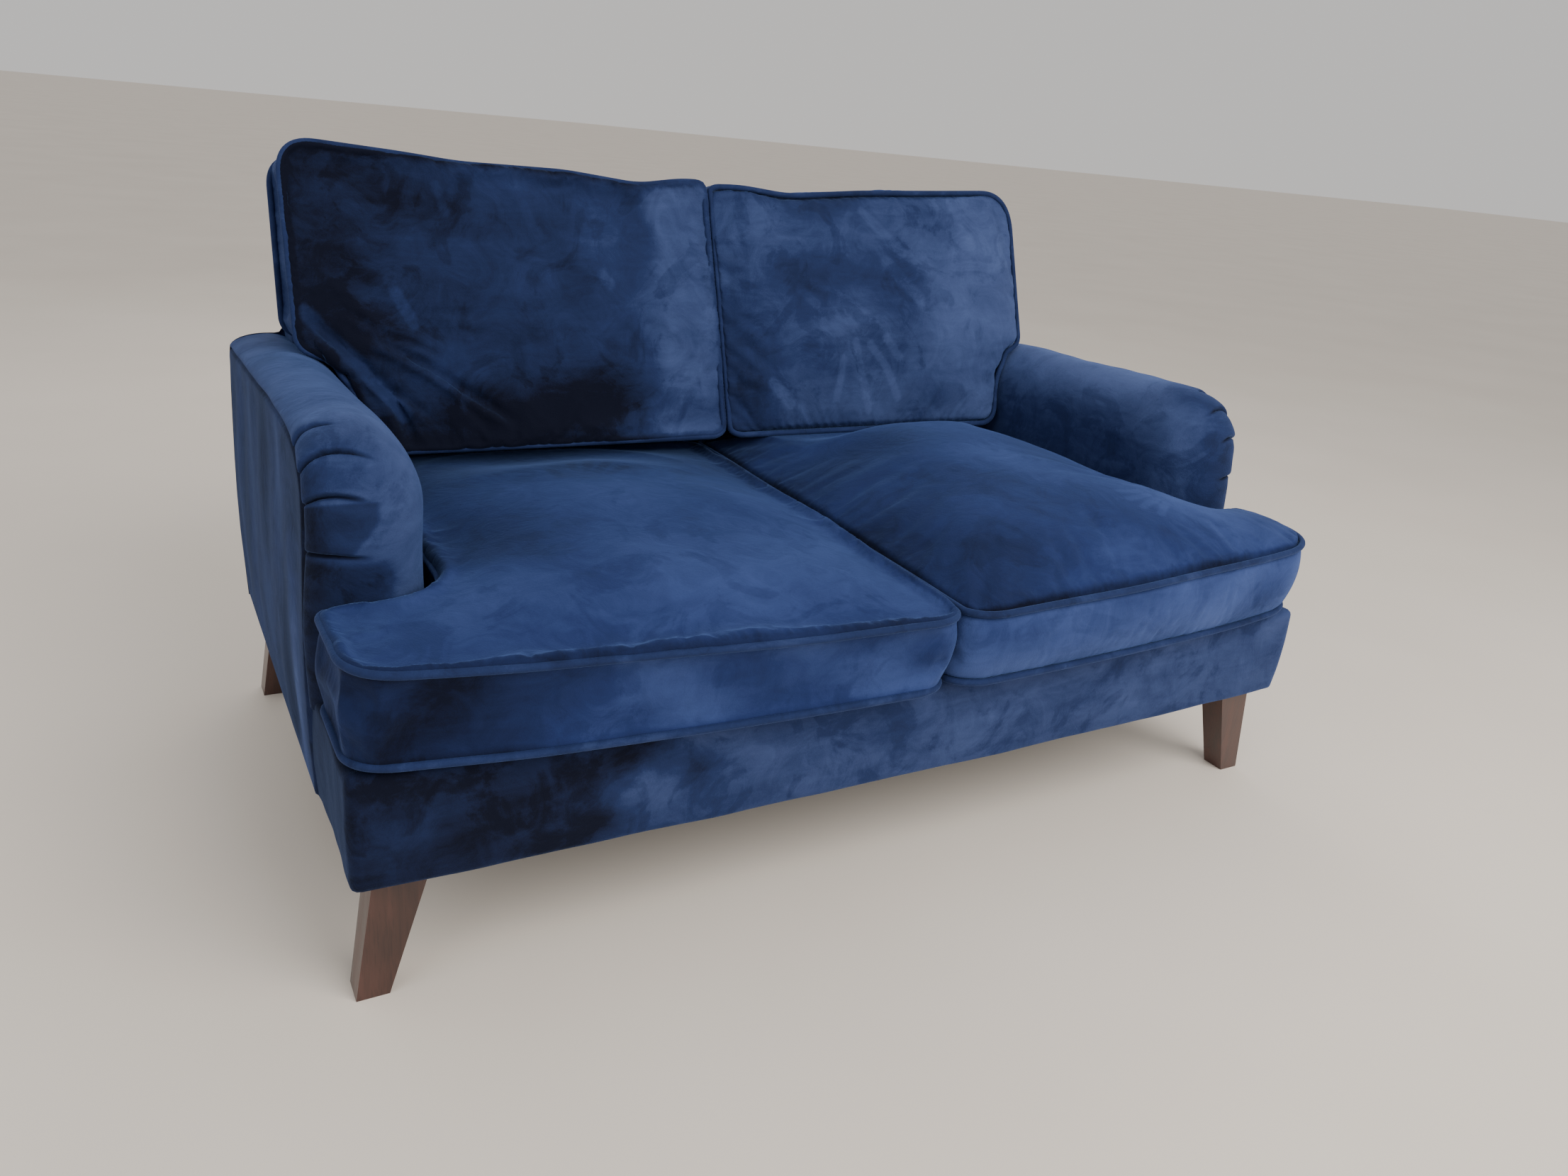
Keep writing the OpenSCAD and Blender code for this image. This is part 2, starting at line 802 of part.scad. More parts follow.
module back_zip() {
    y = front_y + 700;
    z = cushion_low + piping_d - 0.2;
    color("dimgray")
        box(inner_x * 0.2, inner_x * 0.8, y, y + 18, z - 2, z);
}

// ---- the sofa ---------------------------------------------------------------
front_rail();
back_rail();
left() side_rail();  // side_rail_left
side_rail();  // side_rail_right
seat_stretcher();
left() arm_post();  // arm_post_left
arm_post();  // arm_post_right
left() arm_rail();  // arm_rail_left
arm_rail();  // arm_rail_right
left() back_post();  // back_post_left
back_post();  // back_post_right
top_rail();
tacking_rail();
corner_blocks();
frame_dowels();
seat_springs();
spring_clips();
spring_pad();
seat_deck();
dust_cover();
left() leg_front();  // leg_front_left
leg_front();  // leg_front_right
left() leg_rear();  // leg_rear_left
leg_rear();  // leg_rear_right
leg_bolts();
leg_nuts();
border_padding();
border_cover();
left() arm_padding();  // arm_padding_left
arm_padding();  // arm_padding_right
left() arm_cover();  // arm_cover_left
arm_cover();  // arm_cover_right
left() outer_arm();  // outer_arm_left
outer_arm();  // outer_arm_right
back_webbing();
back_padding();
back_cover();
outer_back();
left() seat_core();  // seat_core_left
seat_core();  // seat_core_right
left() seat_cover();  // seat_cover_left
seat_cover();  // seat_cover_right
left() seat_piping_top();  // seat_piping_top_left
seat_piping_top();  // seat_piping_top_right
left() seat_piping_bottom();  // seat_piping_bottom_left
seat_piping_bottom();  // seat_piping_bottom_right
left() seat_zip();  // seat_zip_left
seat_zip();  // seat_zip_right
left() back_core();  // back_core_left
back_core();  // back_core_right
left() cushion_cover();  // cushion_cover_left
cushion_cover();  // cushion_cover_right
left() back_piping_front();  // back_piping_front_left
back_piping_front();  // back_piping_front_right
left() back_piping_rear();  // back_piping_rear_left
back_piping_rear();  // back_piping_rear_right
left() back_zip();  // back_zip_left
back_zip();  // back_zip_right
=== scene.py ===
"""Two-seat velvet sofa: cloth, piping, wood and metal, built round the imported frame."""

import math
import random

import bpy
import numpy as np
from mathutils import Matrix, Vector
from mathutils.geometry import delaunay_2d_cdt
from mathutils.kdtree import KDTree


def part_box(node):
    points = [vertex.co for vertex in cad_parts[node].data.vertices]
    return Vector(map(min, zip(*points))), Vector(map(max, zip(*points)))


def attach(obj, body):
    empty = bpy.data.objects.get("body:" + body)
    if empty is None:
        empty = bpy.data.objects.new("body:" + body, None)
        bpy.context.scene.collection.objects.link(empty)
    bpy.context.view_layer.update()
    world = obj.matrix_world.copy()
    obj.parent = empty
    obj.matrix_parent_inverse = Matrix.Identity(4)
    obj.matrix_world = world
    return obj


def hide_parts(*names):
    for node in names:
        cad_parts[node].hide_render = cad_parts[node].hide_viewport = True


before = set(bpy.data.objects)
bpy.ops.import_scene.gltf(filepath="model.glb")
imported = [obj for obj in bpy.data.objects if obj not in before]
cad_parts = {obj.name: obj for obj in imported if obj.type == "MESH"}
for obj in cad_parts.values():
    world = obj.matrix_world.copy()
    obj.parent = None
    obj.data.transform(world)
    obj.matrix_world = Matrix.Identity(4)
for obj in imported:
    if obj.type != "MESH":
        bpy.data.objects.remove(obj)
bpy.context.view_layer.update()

# ---- sizes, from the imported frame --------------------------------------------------
SIDES = {"left": -1, "right": 1}
MM = 0.001
side_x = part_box("outer_arm_right")[1].x
base_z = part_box("border_cover")[0].z
front_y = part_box("border_cover")[0].y
return_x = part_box("border_cover")[1].x
border_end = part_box("border_cover")[1].y
deck_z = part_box("border_cover")[1].z
inner_x, arm_front, arm_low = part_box("arm_cover_right")[0]
arm_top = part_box("arm_cover_right")[1].z
seat_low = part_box("seat_piping_bottom_right")[0].z
seat_edge_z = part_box("seat_piping_top_right")[1].z
ear_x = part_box("seat_piping_top_right")[1].x
seat_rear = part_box("seat_piping_top_right")[1].y
seat_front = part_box("seat_piping_top_right")[0].y
cushion_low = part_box("back_piping_front_right")[0].z
cushion_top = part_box("back_piping_front_right")[1].z
back_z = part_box("outer_back")[1].z
outer_low_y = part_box("outer_back")[0].y + 5 * MM
outer_top_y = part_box("outer_back")[1].y
gap = 1 * MM                              # half the gap between two cushions side by side
piping_r = 4.6 * MM
RECLINE = math.radians(20)                # of the back cushions' front
INNER_RAKE = math.radians(13)             # of the fixed back's front
SEAT_DEPTH = 0.735                        # from the border to the fixed back, at the deck
REST_Z = 0.4495                           # lowest a back cushion comes, on the seat cushions
face_y = front_y + 0.600                  # the cushions' front plane crosses face_z here
face_z = 0.440
crown_x = side_x - 65 * MM                # crown line of an arm


# ---- small maths -------------------------------------------------------------------
def lerp(a, b, t):
    return a + (b - a) * t


def smooth(a, b, x):
    """0 below a, 1 above b, with an even turn between them."""
    t = np.clip((np.asarray(x, float) - a) / (b - a), 0, 1)
    return t * t * (3 - 2 * t)


def bell(x, width):
    return np.exp(-(np.asarray(x, float) / width) ** 2)


def waves(points, length, seed, count=9):
    """A smooth field between about -1 and 1, with bumps about `length` across."""
    rng = random.Random(seed)
    total = np.zeros(len(points))
    for _ in range(count):
        k = np.array([rng.gauss(0, 1) for _ in range(points.shape[1])])
        k *= 2 * math.pi / length * rng.uniform(0.6, 1.2) / np.linalg.norm(k)
        total += np.sin(points @ k + rng.uniform(0, 2 * math.pi))
    return total / math.sqrt(count * 1.4)


def resampled(path, step, closed):
    """The same line with points `step` apart, as near as its length allows."""
    path = np.asarray(path, float)
    if closed:
        path = np.vstack([path, path[:1]])
    along = np.concatenate([[0], np.cumsum(np.linalg.norm(np.diff(path, axis=0), axis=1))])
    n = max(int(round(along[-1] / step)), 3)
    at = np.linspace(0, along[-1], n + 1)
    made = np.stack([np.interp(at, along, path[:, i]) for i in range(path.shape[1])], 1)
    return made[:-1] if closed else made


def rounded(corners, step, closed=True):
    """Line through (x, y, radius) corners, each turned on an arc."""
    n = len(corners)
    line = []
    for i, (x, y, r) in enumerate(corners):
        p = np.array([x, y], float)
        if r <= 0 or (not closed and i in (0, n - 1)):
            line.append(p)
            continue
        before = np.array(corners[i - 1][:2]) - p
        after = np.array(corners[(i + 1) % n][:2]) - p
        before /= np.linalg.norm(before)
        after /= np.linalg.norm(after)
        half = math.acos(np.clip(before @ after, -1, 1)) / 2
        cut = r / math.tan(half)
        for t in np.linspace(0, 1, max(9, int(r / (3 * MM)))):
            a, b = p + before * cut * (1 - t) ** 2, p + after * cut * t ** 2
            line.append(a + b - p)
    return resampled(line, step, closed)


def normals_of(outline):
    """Unit normals of a counter-clockwise closed outline, outwards."""
    along = np.roll(outline, -1, 0) - np.roll(outline, 1, 0)
    along /= np.linalg.norm(along, axis=1)[:, None]
    return np.stack([along[:, 1], -along[:, 0]], 1)


def nearest(outline, points):
    """Distance from each point to a closed outline, and how far along it that is."""
    fine = resampled(outline, 1 * MM, True)
    step = np.linalg.norm(fine[1] - fine[0])
    tree = KDTree(len(fine))
    for i, p in enumerate(fine):
        tree.insert((p[0], p[1], 0), i)
    tree.balance()
    found = [tree.find((p[0], p[1], 0))[1:] for p in points]
    index, dist = np.array(found).T
    return dist, index * step


def inside(outline, points):
    """Which points lie inside a closed outline."""
    found = np.zeros(len(points), bool)
    x, y = points[:, 0], points[:, 1]
    for a, b in zip(outline, np.roll(outline, -1, 0)):
        if a[1] == b[1]:
            continue
        crosses = (a[1] > y) != (b[1] > y)
        found ^= crosses & (x < (b[0] - a[0]) * (y - a[1]) / (b[1] - a[1]) + a[0])
    return found


def spaced(points, least):
    """The same points without those closer than `least` to one before them."""
    kept_points = []
    for p in points:
        if not kept_points or np.hypot(*(np.array(kept_points) - p).T).min() > least:
            kept_points.append(p)
    return np.array(kept_points).reshape(-1, 2)


def panel(outline, spacing, rims=(2 * MM, 5 * MM, 9 * MM)):
    """Flat mesh inside a counter-clockwise outline: rows of points along its edge, then even
    triangles. Returns (points, faces); the outline's own points come first."""
    n = len(outline)
    out = normals_of(outline)
    points = [outline]
    for r in rims:
        row = outline - out * r
        row = row[inside(outline, row)]
        points.append(spaced(row[nearest(outline, row)[0] > 0.93 * r], 1.5 * MM))
    lo, hi = outline.min(0), outline.max(0)
    up = spacing * math.sqrt(3) / 2
    lattice = np.array([(lo[0] + (i + 0.5 * (j % 2)) * spacing, lo[1] + j * up)
                        for j in range(int((hi[1] - lo[1]) / up) + 1)
                        for i in range(int((hi[0] - lo[0]) / spacing) + 1)])
    lattice = lattice[inside(outline, lattice)]
    points.append(lattice[nearest(outline, lattice)[0] > rims[-1] + 0.6 * spacing])
    points = np.vstack(points)
    edges = [(i, (i + 1) % n) for i in range(n)]
    made = delaunay_2d_cdt([Vector(p) for p in points], edges, [], 1, 1e-7)
    names = [min(source) if source else -1 for source in made[3]]
    found = [tuple(names[v] for v in face) for face in made[2]]
    return points, [face for face in found if min(face) >= 0 and len(set(face)) == 3]


def edges_of(faces):
    pairs = np.array([(f[i], f[(i + 1) % len(f)]) for f in faces for i in range(len(f))])
    return np.unique(np.sort(pairs, 1), axis=0)


def membrane(count, edges, fixed):
    """Height of a blown-up skin over the points, 0 where it is fixed and 1 at its top."""
    a, b = edges[:, 0], edges[:, 1]
    degree = np.bincount(a, minlength=count) + np.bincount(b, minlength=count)
    free = ~fixed

    def pull(u):
        u = np.where(free, u, 0)
        total = np.bincount(a, u[b], count) + np.bincount(b, u[a], count)
        return np.where(free, degree * u - total, 0)

    u = np.zeros(count)
    r = np.where(free, 1.0, 0.0)
    p, rr = r.copy(), (r @ r)
    for _ in range(600):
        q = pull(p)
        step = rr / (p @ q)
        u += step * p
        r -= step * q
        new = r @ r
        if new < 1e-10 * count:
            break
        p, rr = r + new / rr * p, new
    return u / u.max()


# ---- meshes ------------------------------------------------------------------------
def new_object(name, points, faces, material, flip=False):
    mesh = bpy.data.meshes.new(name)
    if flip:
        faces = [tuple(reversed(f)) for f in faces]
    mesh.from_pydata([tuple(map(float, p)) for p in points], [], faces)
    mesh.update()
    mesh.polygons.foreach_set("use_smooth", [True] * len(mesh.polygons))
    obj = bpy.data.objects.new(name, mesh)
    bpy.context.scene.collection.objects.link(obj)
    obj.data.materials.append(material)
    return obj


def coords(obj):
    co = np.zeros(len(obj.data.vertices) * 3)
    obj.data.vertices.foreach_get("co", co)
    return co.reshape(-1, 3)


def set_coords(obj, points):
    obj.data.vertices.foreach_set("co", np.asarray(points, float).ravel())
    obj.data.update()


def vertex_normals(obj):
    n = np.zeros(len(obj.data.vertices) * 3)
    obj.data.vertices.foreach_get("normal", n)
    return n.reshape(-1, 3)


def keep(obj, name, values):
    """Stores a number, or a vector, for each vertex."""
    values = np.asarray(values, np.float32)
    kind = "FLOAT" if values.ndim == 1 else "FLOAT_VECTOR"
    layer = obj.data.attributes.get(name) or obj.data.attributes.new(name, kind, "POINT")
    layer.data.foreach_set("value" if values.ndim == 1 else "vector", values.ravel())


def kept(obj, name, width=1):
    values = np.zeros(len(obj.data.vertices) * width, np.float32)
    layer = obj.data.attributes[name]
    layer.data.foreach_get("value" if width == 1 else "vector", values)
    return values.astype(float) if width == 1 else values.reshape(-1, width).astype(float)


def apply_modifiers(obj):
    graph = bpy.context.evaluated_depsgraph_get()
    mesh = bpy.data.meshes.new_from_object(obj.evaluated_get(graph))
    obj.modifiers.clear()
    obj.data = mesh
    return obj


def subdivide(obj):
    finer = obj.modifiers.new("smooth", "SUBSURF")
    finer.levels = 1
    finer.use_limit_surface = False
    return apply_modifiers(obj)


def tube(name, path, radius, material, lift, sides=12):
    """A closed round cord along a path; `lift` is roughly square to it."""
    tangent = np.roll(path, -1, 0) - np.roll(path, 1, 0)
    tangent /= np.linalg.norm(tangent, axis=1)[:, None]
    lift = np.broadcast_to(np.array(lift, float), path.shape)
    across = np.cross(tangent, lift)
    across /= np.linalg.norm(across, axis=1)[:, None]
    up = np.cross(across, tangent)
    n = len(path)
    turn = np.linspace(0, 2 * math.pi, sides, endpoint=False)[None, :, None]
    points = path[:, None] + radius * (np.cos(turn) * across[:, None] + np.sin(turn) * up[:, None])
    faces = [(i * sides + s, ((i + 1) % n) * sides + s,
              ((i + 1) % n) * sides + (s + 1) % sides, i * sides + (s + 1) % sides)
             for i in range(n) for s in range(sides)]
    return new_object(name, points.reshape(-1, 3), faces, material, flip=True)


def settle(obj, body, slot, *nodes):
    """Ties a piece to its body in place of the CAD nodes it stands for, and hides those nodes; slot is not
    used.
    """
    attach(obj, body)
    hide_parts(*nodes)


def inflate(obj, pinned, pressure, growth, reach):
    """Blows the cloth up between its pinned seams; no point moves further than `reach`."""
    start = coords(obj)
    group = obj.vertex_groups.new(name="pin")
    group.add([int(i) for i in np.nonzero(pinned)[0]], 1.0, "REPLACE")
    cloth = obj.modifiers.new("cloth", "CLOTH")
    s = cloth.settings
    s.quality = 6
    s.mass = 0.3
    s.tension_stiffness = s.compression_stiffness = 12
    s.shear_stiffness = 6
    s.bending_stiffness = 0.35
    s.use_pressure = True
    s.uniform_pressure_force = pressure
    s.shrink_min = -growth
    s.vertex_group_mass = "pin"
    s.effector_weights.gravity = 0
    cloth.collision_settings.use_collision = False
    scene = bpy.context.scene
    for number in range(1, 17):
        scene.frame_set(number)
    graph = bpy.context.evaluated_depsgraph_get()
    made = obj.evaluated_get(graph).data
    moved = np.zeros(len(made.vertices) * 3)
    made.vertices.foreach_get("co", moved)
    obj.modifiers.clear()
    scene.frame_set(1)
    move = moved.reshape(-1, 3) - start
    size = np.linalg.norm(move, axis=1)[:, None]
    scale = reach * np.tanh(size / reach) / np.maximum(size, 1e-9)
    set_coords(obj, start + move * scale)


# ---- materials ---------------------------------------------------------------------
class Shader:
    """A node tree with one Principled surface."""

    def __init__(self, name):
        self.material = bpy.data.materials.new(name)
        self.material.use_nodes = True
        self.tree = self.material.node_tree
        self.surface = self.tree.nodes["Principled BSDF"]

    def node(self, kind, inputs=None, **settings):
        made = self.tree.nodes.new("ShaderNode" + kind)
        for key, value in settings.items():
            setattr(made, key, value)
        for key, value in (inputs or {}).items():
            self.put(made.inputs[key], value)
        return made

    def put(self, socket, value):
        if isinstance(value, bpy.types.NodeSocket):
            self.tree.links.new(value, socket)
        else:
            socket.default_value = value

    def set(self, **inputs):
        for key, value in inputs.items():
            self.put(self.surface.inputs[key.replace("_", " ")], value)

    def place(self, scale=(1, 1, 1), turn=(0, 0, 0)):
        where = self.node("TexCoord").outputs["Object"]
        return self.node("Mapping", {"Vector": where, "Scale": scale, "Rotation": turn}).outputs[0]

    def noise(self, scale, detail=2, rough=0.5, twist=0, where=None):
        made = self.node("TexNoise", {"Vector": where or self.place(), "Scale": scale, "Detail": detail,
                                      "Roughness": rough, "Distortion": twist})
        return made.outputs["Fac"]

    def math(self, kind, a, b=0.0, clamp=False):
        made = self.node("Math", {0: a, 1: b}, operation=kind)
        made.use_clamp = clamp
        return made.outputs[0]

    def spread(self, value, low, high, to_low=0.0, to_high=1.0):
        return self.node("MapRange", {0: value, 1: low, 2: high, 3: to_low, 4: to_high}).outputs[0]

    def ramp(self, value, *stops):
        made = self.node("ValToRGB", {"Fac": value})
        bar = made.color_ramp
        while len(bar.elements) < len(stops):
            bar.elements.new(0.5)
        for element, (at, colour) in zip(bar.elements, stops):
            element.position = at
            element.color = (*colour, 1)
        return made.outputs["Color"]

    def mix(self, share, a, b, kind="MIX"):
        made = self.node("Mix", data_type="RGBA", blend_type=kind)
        for key, value in ((0, share), (6, a), (7, b)):
            if isinstance(value, tuple):
                value = (*value, 1)
            self.put(made.inputs[key], value)
        return made.outputs[2]

    def bump(self, height, strength, distance, under=None):
        inputs = {"Height": height, "Strength": strength, "Distance": distance}
        if under is not None:
            inputs["Normal"] = under
        return self.node("Bump", inputs).outputs[0]


# Tone ramp of the velvet: the dark end serves dark-lying pile and painted shade, the light end light-lying pile
# and painted highlights.
VELVET_DARK = (0.0036, 0.0048, 0.0135)
VELVET_MID = (0.0150, 0.0262, 0.0850)
VELVET_LIGHT = (0.0600, 0.0900, 0.2150)


def velvet(name, shift=0.0, blue=1.0, mottle=1.0):
    """Blue velvet whose pile lies in patches, darker or lighter as it was brushed; the per-vertex tone added to
    it also holds painted shade and painted highlights.
    """
    m = Shader(name)
    dark, middle, light = [(r / math.sqrt(blue), g, b * blue) for r, g, b in (VELVET_DARK, VELVET_MID, VELVET_LIGHT)]
    swept = m.spread(m.noise(10.0, 6, 0.62, 1.2), 0.53, 0.59)
    patches = m.noise(4.2, 3, 0.55, 1.6)
    smudges = m.noise(16.0, 6, 0.68, 1.8)
    streaks = m.noise(9.0, 3, 0.6, 0.8, m.place((1.0, 1.0, 4.5), (0.5, 0.25, 0.35)))
    fibres = m.noise(700.0, 2, 0.7)
    # Per-vertex tone: pile patches and hand marks, plus painted shade at seams and pleats and painted
    # highlights on the arms.
    painted = m.node("Attribute", attribute_name="nap_and_painted_light").outputs["Fac"]
    tone = m.math("MULTIPLY", m.math("SUBTRACT", patches, 0.5), 0.22)
    for field, weight in ((smudges, 0.38), (streaks, 0.26), (fibres, 0.16)):
        tone = m.math("ADD", tone, m.math("MULTIPLY", m.math("SUBTRACT", field, 0.5), weight))
    tone = m.math("SUBTRACT", tone, m.math("MULTIPLY", swept, 0.09))
    tone = m.math("ADD", m.math("MULTIPLY", tone, mottle), painted)
    tone = m.math("ADD", tone, 0.49 + shift, clamp=True)
    m.set(Base_Color=m.ramp(tone, (0.08, dark), (0.5, middle), (0.95, light)))
    m.set(Roughness=m.spread(tone, 0, 1, 0.92, 0.74))
    weave = m.noise(260.0, 2, 0.6)
    low = m.bump(smudges, 0.12, 0.02)
    m.set(Normal=m.bump(m.math("ADD", fibres, m.math("MULTIPLY", weave, 0.7)), 0.35, 0.0012, low))
    m.set(Sheen_Weight=0.26, Sheen_Roughness=0.36, Sheen_Tint=(0.26, 0.44, 1.0, 1),
          Specular_IOR_Level=0.10)
    return m.material


def wood(name, dark, light, rough, along=2, scale=22.0):
    """Long-grained wood; `along` is the axis the grain runs on."""
    m = Shader(name)
    stretch = [1.0, 1.0, 1.0]
    stretch[along] = 0.07
    where = m.place(tuple(stretch))
    rings = m.noise(scale * 3, 4, 0.6, 0.6, where)
    pores = m.noise(scale * 22, 2, 0.6, 0.0, where)
    broad = m.noise(scale * 0.35, 2)
    tone = m.math("ADD", m.math("MULTIPLY", rings, 0.6), m.math("MULTIPLY", broad, 0.4))
    colour = m.ramp(tone, (0.30, dark), (0.68, light))
    colour = m.mix(m.spread(pores, 0.52, 0.7, 0.0, 0.55), colour, dark)
    m.set(Base_Color=colour, Roughness=m.spread(rings, 0.3, 0.7, rough - 0.06, rough + 0.08))
    m.set(Normal=m.bump(m.math("ADD", rings, m.math("MULTIPLY", pores, 0.6)), 0.18, 0.0006))
    return m


def polished(name, dark, light):
    m = wood(name, dark, light, 0.34)
    m.set(Coat_Weight=0.35, Coat_Roughness=0.22)
    scuff = m.spread(m.noise(38.0, 4, 0.7, 1.0), 0.70, 0.76)
    base = m.surface.inputs["Base Color"].links[0].from_socket
    m.set(Base_Color=m.mix(m.math("MULTIPLY", scuff, 0.5), base, (0.30, 0.13, 0.08)))
    return m.material


def woven(name, dark, light, scale, rough=0.9, height=0.5):
    """Plain-woven cloth: two crossed sets of threads."""
    m = Shader(name)
    where = m.place()
    warp, weft, rise = (m.node("TexWave", {"Vector": where, "Scale": scale, "Distortion": 0.3},
                               bands_direction=axis).outputs["Fac"] for axis in "XYZ")
    threads = m.math("MULTIPLY", m.math("MAXIMUM", warp, rise), weft)
    blotch = m.noise(9.0, 3)
    m.set(Base_Color=m.ramp(m.math("ADD", m.math("MULTIPLY", threads, 0.6), m.math("MULTIPLY", blotch, 0.4)),
                            (0.15, dark), (0.8, light)))
    m.set(Roughness=m.spread(blotch, 0.3, 0.7, rough - 0.05, rough + 0.05))
    m.set(Normal=m.bump(threads, height, 0.0006))
    return m.material


def speckled(name, dark, light, scale, rough, metal=0.0, height=0.4):
    """Foam, felt, steel or plastic: a fine-grained surface with soft blotches."""
    m = Shader(name)
    grain = m.noise(scale, 3, 0.7)
    blotch = m.noise(scale * 0.04, 3)
    tone = m.math("ADD", m.math("MULTIPLY", grain, 0.5), m.math("MULTIPLY", blotch, 0.5))
    m.set(Base_Color=m.ramp(tone, (0.35, dark), (0.65, light)))
    m.set(Roughness=m.spread(grain, 0.3, 0.7, rough - 0.07, rough + 0.07))
    m.set(Normal=m.bump(grain, height, 0.0005), Metallic=metal)
    return m.material


body_velvet = velvet("velvet_body")
# The seat copy is a little lighter and bluer than the rest of the velvet: painted sheen of the grazing-lit seat
# tops; its patches are also softened.
seat_velvet_painted_sheen = velvet("velvet_seat_painted_sheen", 0.02, 1.16, 0.7)
back_velvet = velvet("velvet_back", 0.0)
piping_velvet = velvet("velvet_piping", 0.0)
leg_wood = polished("leg_wood", (0.021, 0.008, 0.006), (0.074, 0.026, 0.019))
pine = wood("frame_timber", (0.42, 0.26, 0.12), (0.68, 0.49, 0.28), 0.6, along=0).material
beech = wood("dowels", (0.50, 0.33, 0.18), (0.66, 0.48, 0.30), 0.5).material
steel = speckled("steel", (0.35, 0.35, 0.36), (0.62, 0.62, 0.63), 500.0, 0.33, metal=1.0, height=0.1)
felt = speckled("felt", (0.10, 0.10, 0.10), (0.24, 0.23, 0.22), 420.0, 0.95)
deck_cloth = woven("deck_cloth", (0.006, 0.010, 0.030), (0.022, 0.036, 0.090), 330.0)
dust_cloth = woven("dust_cloth", (0.006, 0.006, 0.007), (0.030, 0.030, 0.032), 210.0)
webbing_cloth = woven("webbing", (0.010, 0.010, 0.010), (0.060, 0.055, 0.050), 260.0, 0.75)
foam = speckled("foam", (0.62, 0.56, 0.36), (0.82, 0.77, 0.58), 600.0, 0.93)
zip_plastic = speckled("zip", (0.008, 0.009, 0.016), (0.03, 0.032, 0.05), 300.0, 0.5)

NODE_FINISH = {
    "leg_front": leg_wood, "leg_rear": leg_wood, "leg_bolts": steel, "leg_nuts": steel,
    "frame_dowels": beech, "seat_springs": steel, "spring_clips": steel, "spring_pad": felt,
    "seat_deck": deck_cloth, "dust_cover": dust_cloth, "back_webbing": webbing_cloth,
    "seat_zip": zip_plastic, "back_zip": zip_plastic, "border_padding": foam,
    "arm_padding": foam, "back_padding": foam, "seat_core": foam, "back_core": foam}
for node_name, node_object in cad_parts.items():
    finish = next((m for start, m in NODE_FINISH.items() if node_name.startswith(start)), pine)
    node_object.data.materials.clear()
    node_object.data.materials.append(finish)
    if finish == leg_wood:
        node_object.modifiers.new("weld", "WELD").merge_threshold = 0.1 * MM
        eased = node_object.modifiers.new("eased_edges", "BEVEL")
        eased.width = 1.6 * MM
        eased.segments = 2
        eased.limit_method = "ANGLE"


# ---- cushions ----------------------------------------------------------------------
def cushion(name, outline, height, rows, spacing, place, crown, power, flat, bulge, material,
            pressure, growth, reach, shape):
    """A boxed cushion. The outline lies in (a, b); c runs from 0 to `height` at the top seam.
    place(a, b, c) gives world points, and shape(obj, local) corrects them before and after
    the cloth is blown up."""
    flat_points, faces = panel(outline, spacing)
    n, count = len(outline), len(flat_points)
    edges = edges_of(faces)
    fixed = np.zeros(count, bool)
    fixed[:n] = True
    rise = membrane(count, edges, fixed) ** power
    top = np.column_stack([flat_points, height + crown * rise])
    low = np.column_stack([flat_points, -flat * rise])
    out = normals_of(outline)
    levels = np.linspace(0, 1, rows + 1)[1:-1]
    boxing = np.vstack([np.column_stack([outline + out * bulge * (1 - (2 * t - 1) ** 2),
                                         np.full(n, t * height)]) for t in levels])
    local = np.vstack([top, low, boxing])
    all_faces = list(faces) + [tuple(count + v for v in reversed(f)) for f in faces]
    loops = [np.arange(n) + count] + [np.arange(n) + 2 * count + k * n for k in range(rows - 1)]
    loops.append(np.arange(n))
    for below, above in zip(loops[:-1], loops[1:]):
        for i in range(n):
            j = (i + 1) % n
            all_faces.append((below[i], below[j], above[j], above[i]))
    face_kind = np.concatenate([np.ones(count), -np.ones(count), np.zeros(len(boxing))])
    pinned = np.zeros(len(local), bool)
    pinned[:n] = True
    pinned[count:count + n] = True
    obj = new_object(name, place(local), all_faces, material)
    keep(obj, "local", local)
    keep(obj, "side", face_kind)
    set_coords(obj, shape(coords(obj), local))
    inflate(obj, pinned, pressure, growth, reach)
    set_coords(obj, shape(coords(obj), local))
    subdivide(obj)
    return obj


def seam_marks(obj, outline, height):
    """For each vertex, its distance to the top and bottom seams and its place along them."""
    local = kept(obj, "local", 3)
    dist, along = nearest(outline, local[:, :2])
    side = kept(obj, "side")
    on_top = np.hypot(dist, np.where(side > 0.5, 0, np.abs(local[:, 2] - height)))
    on_low = np.hypot(dist, np.where(side < -0.5, 0, np.abs(local[:, 2])))
    top_far = np.where(side > 0.5, dist, on_top)
    low_far = np.where(side < -0.5, dist, on_low)
    return local, side, top_far, low_far, along


def pucker(far, along, seed, pitch, depth, decay):
    """Small gathers square to a seam, deepest beside it."""
    line = np.column_stack([along, np.zeros(len(along))])
    wave = 0.6 * waves(line, pitch, seed) + 0.4 * waves(line, pitch * 2.3, seed + 1)
    strength = 0.5 + 0.5 * waves(line, 0.22, seed + 2)
    return depth * wave * np.clip(strength, 0.1, 1) * np.exp(-far / decay) * smooth(0, 6 * MM, far)


